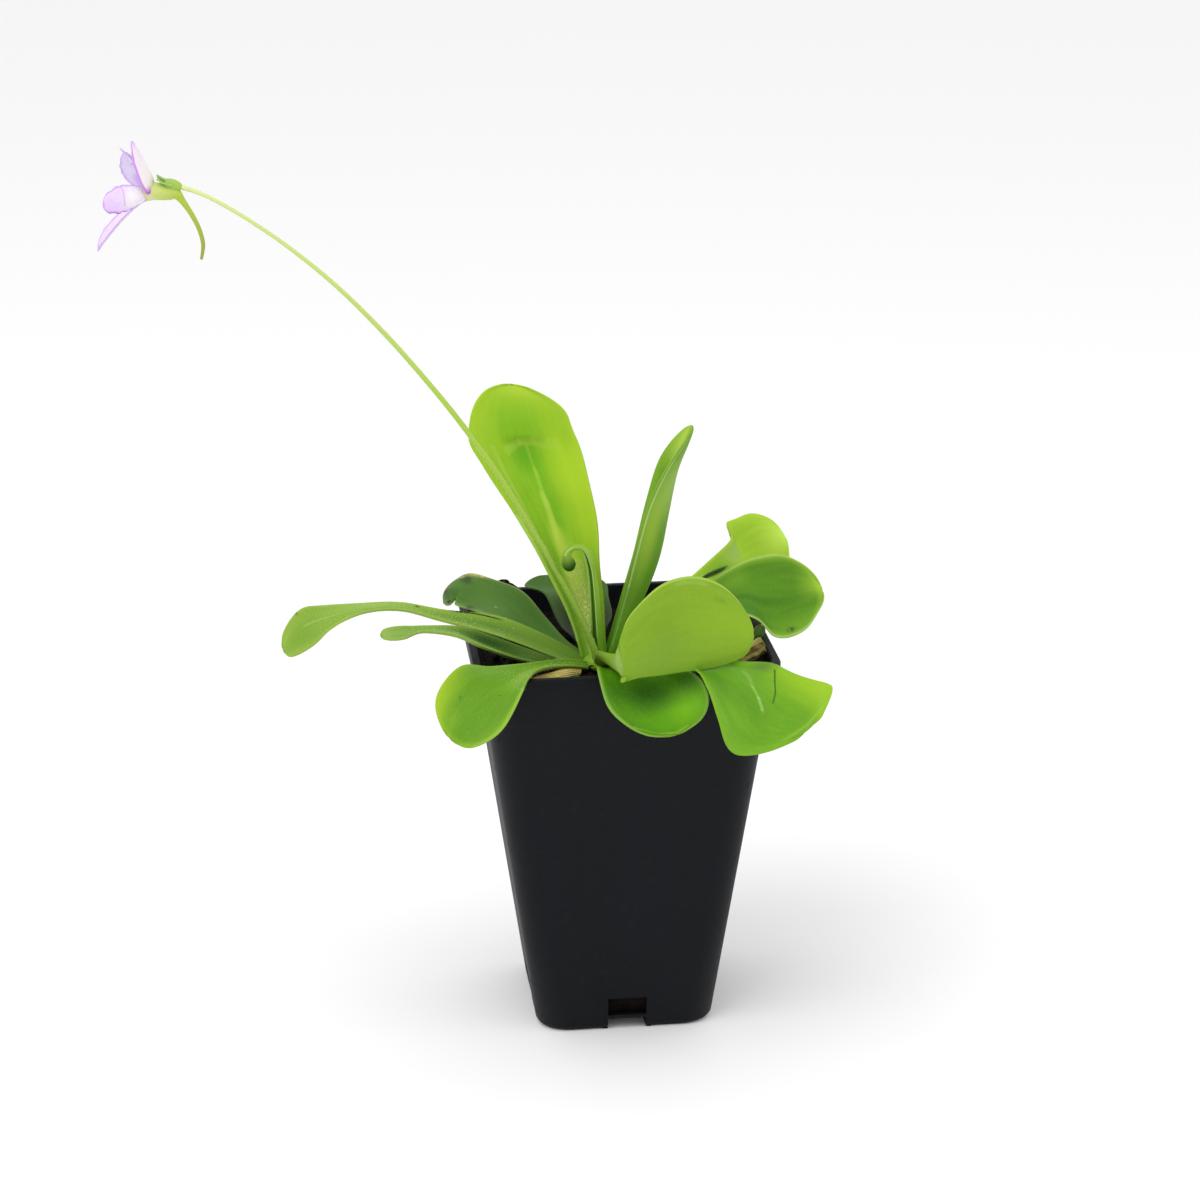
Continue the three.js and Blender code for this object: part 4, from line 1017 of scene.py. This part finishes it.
SCAPE = [(-6.3, -12.4, 97, 1), (-6.4, -13.2, 100, 0.95), (-8.9, -12, 106.9, 0.85),
         (-13.6, -10.4, 117.1, 0.75), (-19.6, -8.4, 128.4, 0.75), (-28.2, -5.8, 143.6, 0.75),
         (-37.2, -4.2, 157, 0.7), (-45.7, -3.2, 168.4, 0.65), (-56.4, -2.2, 181.4, 0.6),
         (-68.2, -1.2, 193.9, 0.55), (-80, -0.4, 204.1, 0.5), (-90.6, -0.2, 211.8, 0.48),
         (-98.7, 0, 216.6, 0.5), (-104.4, 0, 218.9, 0.62)]
scape_skin = stem_skin("scape_skin", "#6C941C #A2C03E #D2DC96")
stalk = make_tube("flower_scape", SCAPE, scape_skin, steps=160, count=14)
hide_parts("flower_stalk")
print(stalk.name)

# %% Tube with spur
TUBE = [(-112, 0, 218.15, 2.2), (-110.9, 0, 218.1, 2.1), (-109.6, 0, 217.9, 2.1), (-107.2, 0, 217.6, 1.9),
        (-105.4, 0, 217, 1.3), (-104, 0, 215.2, 0.8), (-102, 0, 211.9, 0.62), (-100.4, 0, 208.2, 0.55),
        (-99.7, 0, 204.5, 0.5), (-100.3, 0, 201, 0.34)]
tube_skin = stem_skin("tube_skin", "#CCD688 #A6BC36 #949634")
spur = make_tube("flower_spur", TUBE, tube_skin, steps=90, count=24)
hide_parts("flower_tube")
print(spur.name)

# %% Petal finish
def petal_skin(name, tones, washes=(), lines=(), rim=0.6):
    """The tones are those of the middle, the outer part, the margin and the foot."""
    r = Recipe(name)
    white, lavender, violet, magenta = paints(tones)
    along, across = r.read("along", "across")
    cloud = r.fleck(500, 3)
    colour = r.blend(r.fade(cloud * 0.4 + along * 0.6, 0.3, 0.8), white, lavender)
    edge = r.fade(abs(across), 0.7, 1) + r.fade(along, 0.92, 1)
    colour = r.blend(r.fade(edge, 0.05, 1.1) * rim, colour, violet)
    veins = (across * 19 + cloud * 2).sine()
    colour = r.blend(r.fade(veins, 0.6, 1) * 0.05, colour, violet)
    colour = r.blend(1 - r.fade(along, 0.02, 0.2), colour, magenta)
    colour = painted(r, colour, along, across, washes, lines)
    return r.finish(colour, 0.5 + 0.1 * cloud, 0.2, relief=(veins, 0.0001, 0.12), glow=(0.2, 0.8, 0.5, 1),
                    sheen=0.1)


print("petal finish")

# %% Lobes
LOBES = {
    "lobe_upper_near": (dict(tones="#EBE2E2 #E4D4E6 #B074D8 #B050C0", rim=0.3, washes=[
        ("#D4DCA8", 0.06, -0.7, 0.3, 1.3, 1), ("#C49ADC", 0.95, 0, 0.2, 1.2, 0.8)], lines=[
        ("#B070D8", 0.05, 0.9, 1, 0.9, 0.14, 0.8), ("#C48AD8", 0.3, -0.95, 0.7, -0.95, 0.1, 0.6)]), [
        (-111.4, -0.9, 218.2, 2, -121, -14, 0.2), (-112.5, -1.6, 221.4, 3, -121, -14, 0.5),
        (-113.7, -2.2, 225.4, 2.5, -121, -14, 0.4), (-114.7, -2.6, 228.8, 1.4, -121, -14, 0.2),
        (-115.4, -2.8, 230.7, 0.7, -121, -14, 0)]),
    "lobe_upper_far": (dict(tones="#D6CEE4 #CEC4E0 #A488DC #B050C0", rim=0.5, washes=[
        ("#A47CDC", 0.2, 0.2, 0.32, 1, 0.8)]), [
        (-112.3, 0.9, 218, 1.8, -55, 17, 0.2), (-115.1, 1.4, 221.2, 3.3, -50, 17, 0.5),
        (-116.6, 1.9, 224.2, 3.2, -48, 17, 0.4), (-117.5, 2.3, 227.2, 2, -50, 17, 0.2)]),
    "lobe_upper_tooth": (dict(tones="#E6DEE8 #D6C0E6 #B074D8 #B050C0"), [
        (-115.4, 0.2, 224.6, 0.5, -50, 17, 0.1), (-116.8, 0.6, 226.6, 0.35, -50, 17, 0.1),
        (-118.4, 1, 228.4, 0.2, -50, 17, 0)]),
    "lobe_side_near": (dict(tones="#E6DEE8 #DCC4EE #B074D8 #B050C0", washes=[
        ("#ECEAEC", 0.42, 0, 0.28, 1, 1), ("#A868D8", 0.8, 1, 0.35, 0.4, 0.6)], lines=[
        ("#C890DC", 0.6, -0.9, 0.61, 0.4, 0.055, 0.6), ("#A864D4", 0.25, 0.95, 0.95, 0.95, 0.12, 0.7)]), [
        (-112.2, -1, 217.7, 1.5, 0, -86, 0.2), (-115.6, -3.2, 217.5, 2.7, 0, -86, 0.6),
        (-119, -5.4, 217.1, 3.3, 0, -86, 0.6), (-122.8, -7.8, 216.4, 3, 0, -86, 0.3)]),
    "lobe_side_far": (dict(tones="#E6DEE8 #D6C0E6 #B074D8 #B050C0"), [
        (-112.2, 1, 217.4, 1.5, 135, 84, 0.2), (-115.2, 3.4, 216.6, 2.4, 135, 84, 0.6),
        (-118.2, 6.2, 215.6, 3, 135, 84, 0.6), (-121.2, 9.2, 214.8, 2.8, 135, 84, 0.3)]),
    "lobe_lower": (dict(tones="#E2D6E8 #D6C4E2 #B074D8 #B050C0", rim=0.5, washes=[
        ("#A878D8", 1, 0, 0.16, 1.4, 0.8)]), [
        (-112.4, 0, 217, 1.5, 90, 10, 0.2), (-116.4, 0, 213.8, 2.6, 90, 12, 0.6),
        (-120.3, 0, 210.4, 3.4, 90, 14, 0.7), (-123.4, 0, 207, 3.4, 90, 15, 0.5),
        (-125, 0, 204, 2.8, 90, 16, 0.3)]),
}


def wavy_edge(v, u):
    return 1 + 0.05 * np.sin(v * 38) * soft_step(np.abs(u), 0.5, 1) * soft_step(v, 0.3, 0.6)


for name, (skin, ribs) in LOBES.items():
    lobe = make_blade(name, ribs, petal_skin(name + "_skin", **skin), 0.6, 0.95, rows=44, columns=20,
                      thick=0.45, edge=0.2, wave=1.2, curl=0.5, outline=wavy_edge)
    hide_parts("flower_petals")
print(len(LOBES), "pieces of petal")

# %% Throat
THROAT_Z, THROAT_SIDES = 217.9, 28
THROAT = [(-110.6, 1.9, 0.5), (-111.6, 2.15, 0.5), (-112.6, 2.25, 0.5), (-113.4, 2.5, 0.4),
          (-113.5, 2.3, 0.2), (-112.6, 1.8, 0.1), (-111.4, 1.2, 0), (-110.8, 0.4, 0)]  # x, radius, along
angles = np.linspace(0, 2 * math.pi, THROAT_SIDES, endpoint=False)
rings = np.array([[(x, radius * math.cos(a), THROAT_Z + radius * math.sin(a)) for a in angles]
                  for x, radius, _ in THROAT])
values = {"along": np.repeat([along for _, _, along in THROAT], THROAT_SIDES),
          "across": np.zeros(rings.shape[:2])}
throat_skin = petal_skin("throat_skin", "#CCD48C #D4D8A0 #C890D0 #B050C0", rim=0.2)
throat = put_mesh("flower_throat", *ring_body(rings), throat_skin, values)
print(throat.name)

# %% Calyx
CUP_START, CALYX_LENGTH = -104.2, 6
SEPALS = ((0, 0.5), (-1.4, -0.2), (1.4, -0.2))  # how far aside and how far up each one stands
cup = [(CUP_START, 0, 218.7, 0.7), (-105.2, 0, 219, 1.3), (-106.6, 0, 219.3, 1.6), (-108, 0, 219.3, 1.7)]
parts = [ring_body(tube_rings(cup, 16, 20))]
for y, lift in SEPALS:
    ribs = [(-106.4, y * 0.7, 219.6 + lift, 1.1, 90, 0, -0.2), (-108.2, y, 220.2 + lift, 0.9, 90, 0, -0.1),
            (-110, y * 1.2, 221.4 + lift, 0.4, 90, 0, 0)]
    points, bar, v, u, share, _ = blade_sheet(ribs, 20, 8, 0.4, 1.0)
    rings, _ = blade_skin(points, bar, v, u, share, 0.5, 0.3)
    parts.append(ring_body(rings))
points, faces = joined(parts)
calyx_skin = stem_skin("calyx_skin", "#9CBC44 #94B44C #86A854")
along = (CUP_START - points[:, 0]) / CALYX_LENGTH
calyx = put_mesh("flower_sepals", points, faces, calyx_skin, {"along": along})
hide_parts("flower_calyx")
print(calyx.name)

# %% [markdown]
# ## Sticky drops and hairs
# Each gland of a butterwort leaf holds up a drop of glue, and the leaf stalks and flower stalk bear
# short pale hairs. Both are far smaller than a millimetre, so a drop needs only eight faces and a
# hair three. They are sown at random over the faces of a piece, more where a face is large.

# %% Sowing points on a piece
def fetched(things, key, kind=float):
    numbers = np.empty(len(things), kind)
    things.foreach_get(key, numbers)
    return numbers


def fetched_vectors(things, key):
    numbers = np.empty((len(things), 3))
    things.foreach_get(key, numbers.ravel())
    return numbers


def sown(piece, number, chance, keep):
    """Random places on a piece's four-sided faces, with the direction each face looks."""
    mesh = piece.data
    start, area = fetched(mesh.polygons, "loop_start", int), fetched(mesh.polygons, "area")
    corner, spots = fetched(mesh.loops, "vertex_index", int), fetched_vectors(mesh.vertices, "co")
    fit = fetched(mesh.polygons, "loop_total", int) == 4
    for key, (low, high) in keep.items():
        numbers = fetched(mesh.attributes[key].data, "value", np.float32)[corner[start]]
        fit &= (numbers >= low) & (numbers <= high)
    chosen = chance.choice(np.flatnonzero(fit), number, p=area[fit] / area[fit].sum())
    a, b = chance.random((2, number, 1))
    p, q, r, s = (spots[corner[start[chosen] + k]] for k in range(4))
    places = ((p * (1 - a) + q * a) * (1 - b) + (s * (1 - a) + r * a) * b) / MM
    return places, fetched_vectors(mesh.polygons, "normal")[chosen]


def copies(shapes, shape_faces, places):
    """Each shape at its own place, all as one body."""
    starts = np.arange(len(places)) * shapes.shape[1]
    faces = (np.array(shape_faces) + starts[:, None, None]).reshape(-1, 3)
    return (shapes + places[:, None]).reshape(-1, 3), [tuple(face) for face in faces.tolist()]


print("sowing is ready")

# %% Drops on the young leaves
DROP = np.array([(1, 0, 0), (0, 1, 0), (-1, 0, 0), (0, -1, 0), (0, 0, 1), (0, 0, -1)], float)
DROP_FACES = [(0, 1, 4), (1, 2, 4), (2, 3, 4), (3, 0, 4), (1, 0, 5), (2, 1, 5), (3, 2, 5), (0, 3, 5)]
USUAL_DEW = (250, 0.94, 0.85, 0.8)  # number, reach along, half width across, and size
DEW = {"leaf_tall": (1500, 0.36, 0.4, 1.8)}
chance = np.random.default_rng(5)
parts = []
for name in LEAVES:
    if name not in OLD_LEAVES:
        number, reach, half, growth = DEW.get(name, USUAL_DEW)
        places, up = sown(bpy.data.objects[name + "_blade"], number, chance,
                          {"upper": (0.9, 1), "across": (-half, half), "along": (0.1, reach)})
        size = chance.uniform(0.03, 0.05, (number, 1)) * growth
        parts.append(copies(DROP * size[:, None], DROP_FACES, places + up * size))
drops = put_mesh("glue_drops", *joined(parts), Recipe("leaf_glue").finish(paint("#E6EEA8"), 0.12))
print(len(drops.data.polygons), "faces of drops")

# %% Hairs on leaf stalks and flower stalk
HAIR_HALF, HAIR_FACES = 0.035, [(0, 1, 3), (1, 2, 3), (2, 0, 3)]
HAIRY = [("leaf_left_long_blade", 700, 0.2, 0.85), ("leaf_left_small_blade", 150, 0.55, 0.85),
         ("leaf_front_left_blade", 300, 0.08, 0.5), ("leaf_tall_blade", 400, 0.05, 0.4),
         ("flower_scape", 800, 0.03, 0.97)]  # number, and from where to where along
chance = np.random.default_rng(8)
parts = []
for name, number, low, high in HAIRY:
    places, up = sown(bpy.data.objects[name], number, chance, {"along": (low, high)})
    lean = unit(up + chance.normal(0, 0.25, up.shape))
    aside = unit(np.cross(lean, chance.normal(0, 1, up.shape))) * HAIR_HALF
    other = np.cross(lean, aside)
    tip = lean * chance.uniform(0.3, 0.6, (number, 1))
    foot = [aside, -0.5 * aside + 0.87 * other, -0.5 * aside - 0.87 * other]
    parts.append(copies(np.stack([*foot, tip], axis=1), HAIR_FACES, places))
hairs = put_mesh("gland_hairs", *joined(parts), Recipe("pale_hair").finish(paint("#DDE8B8"), 0.6, 0.2))
print(len(hairs.data.polygons), "faces of hairs")
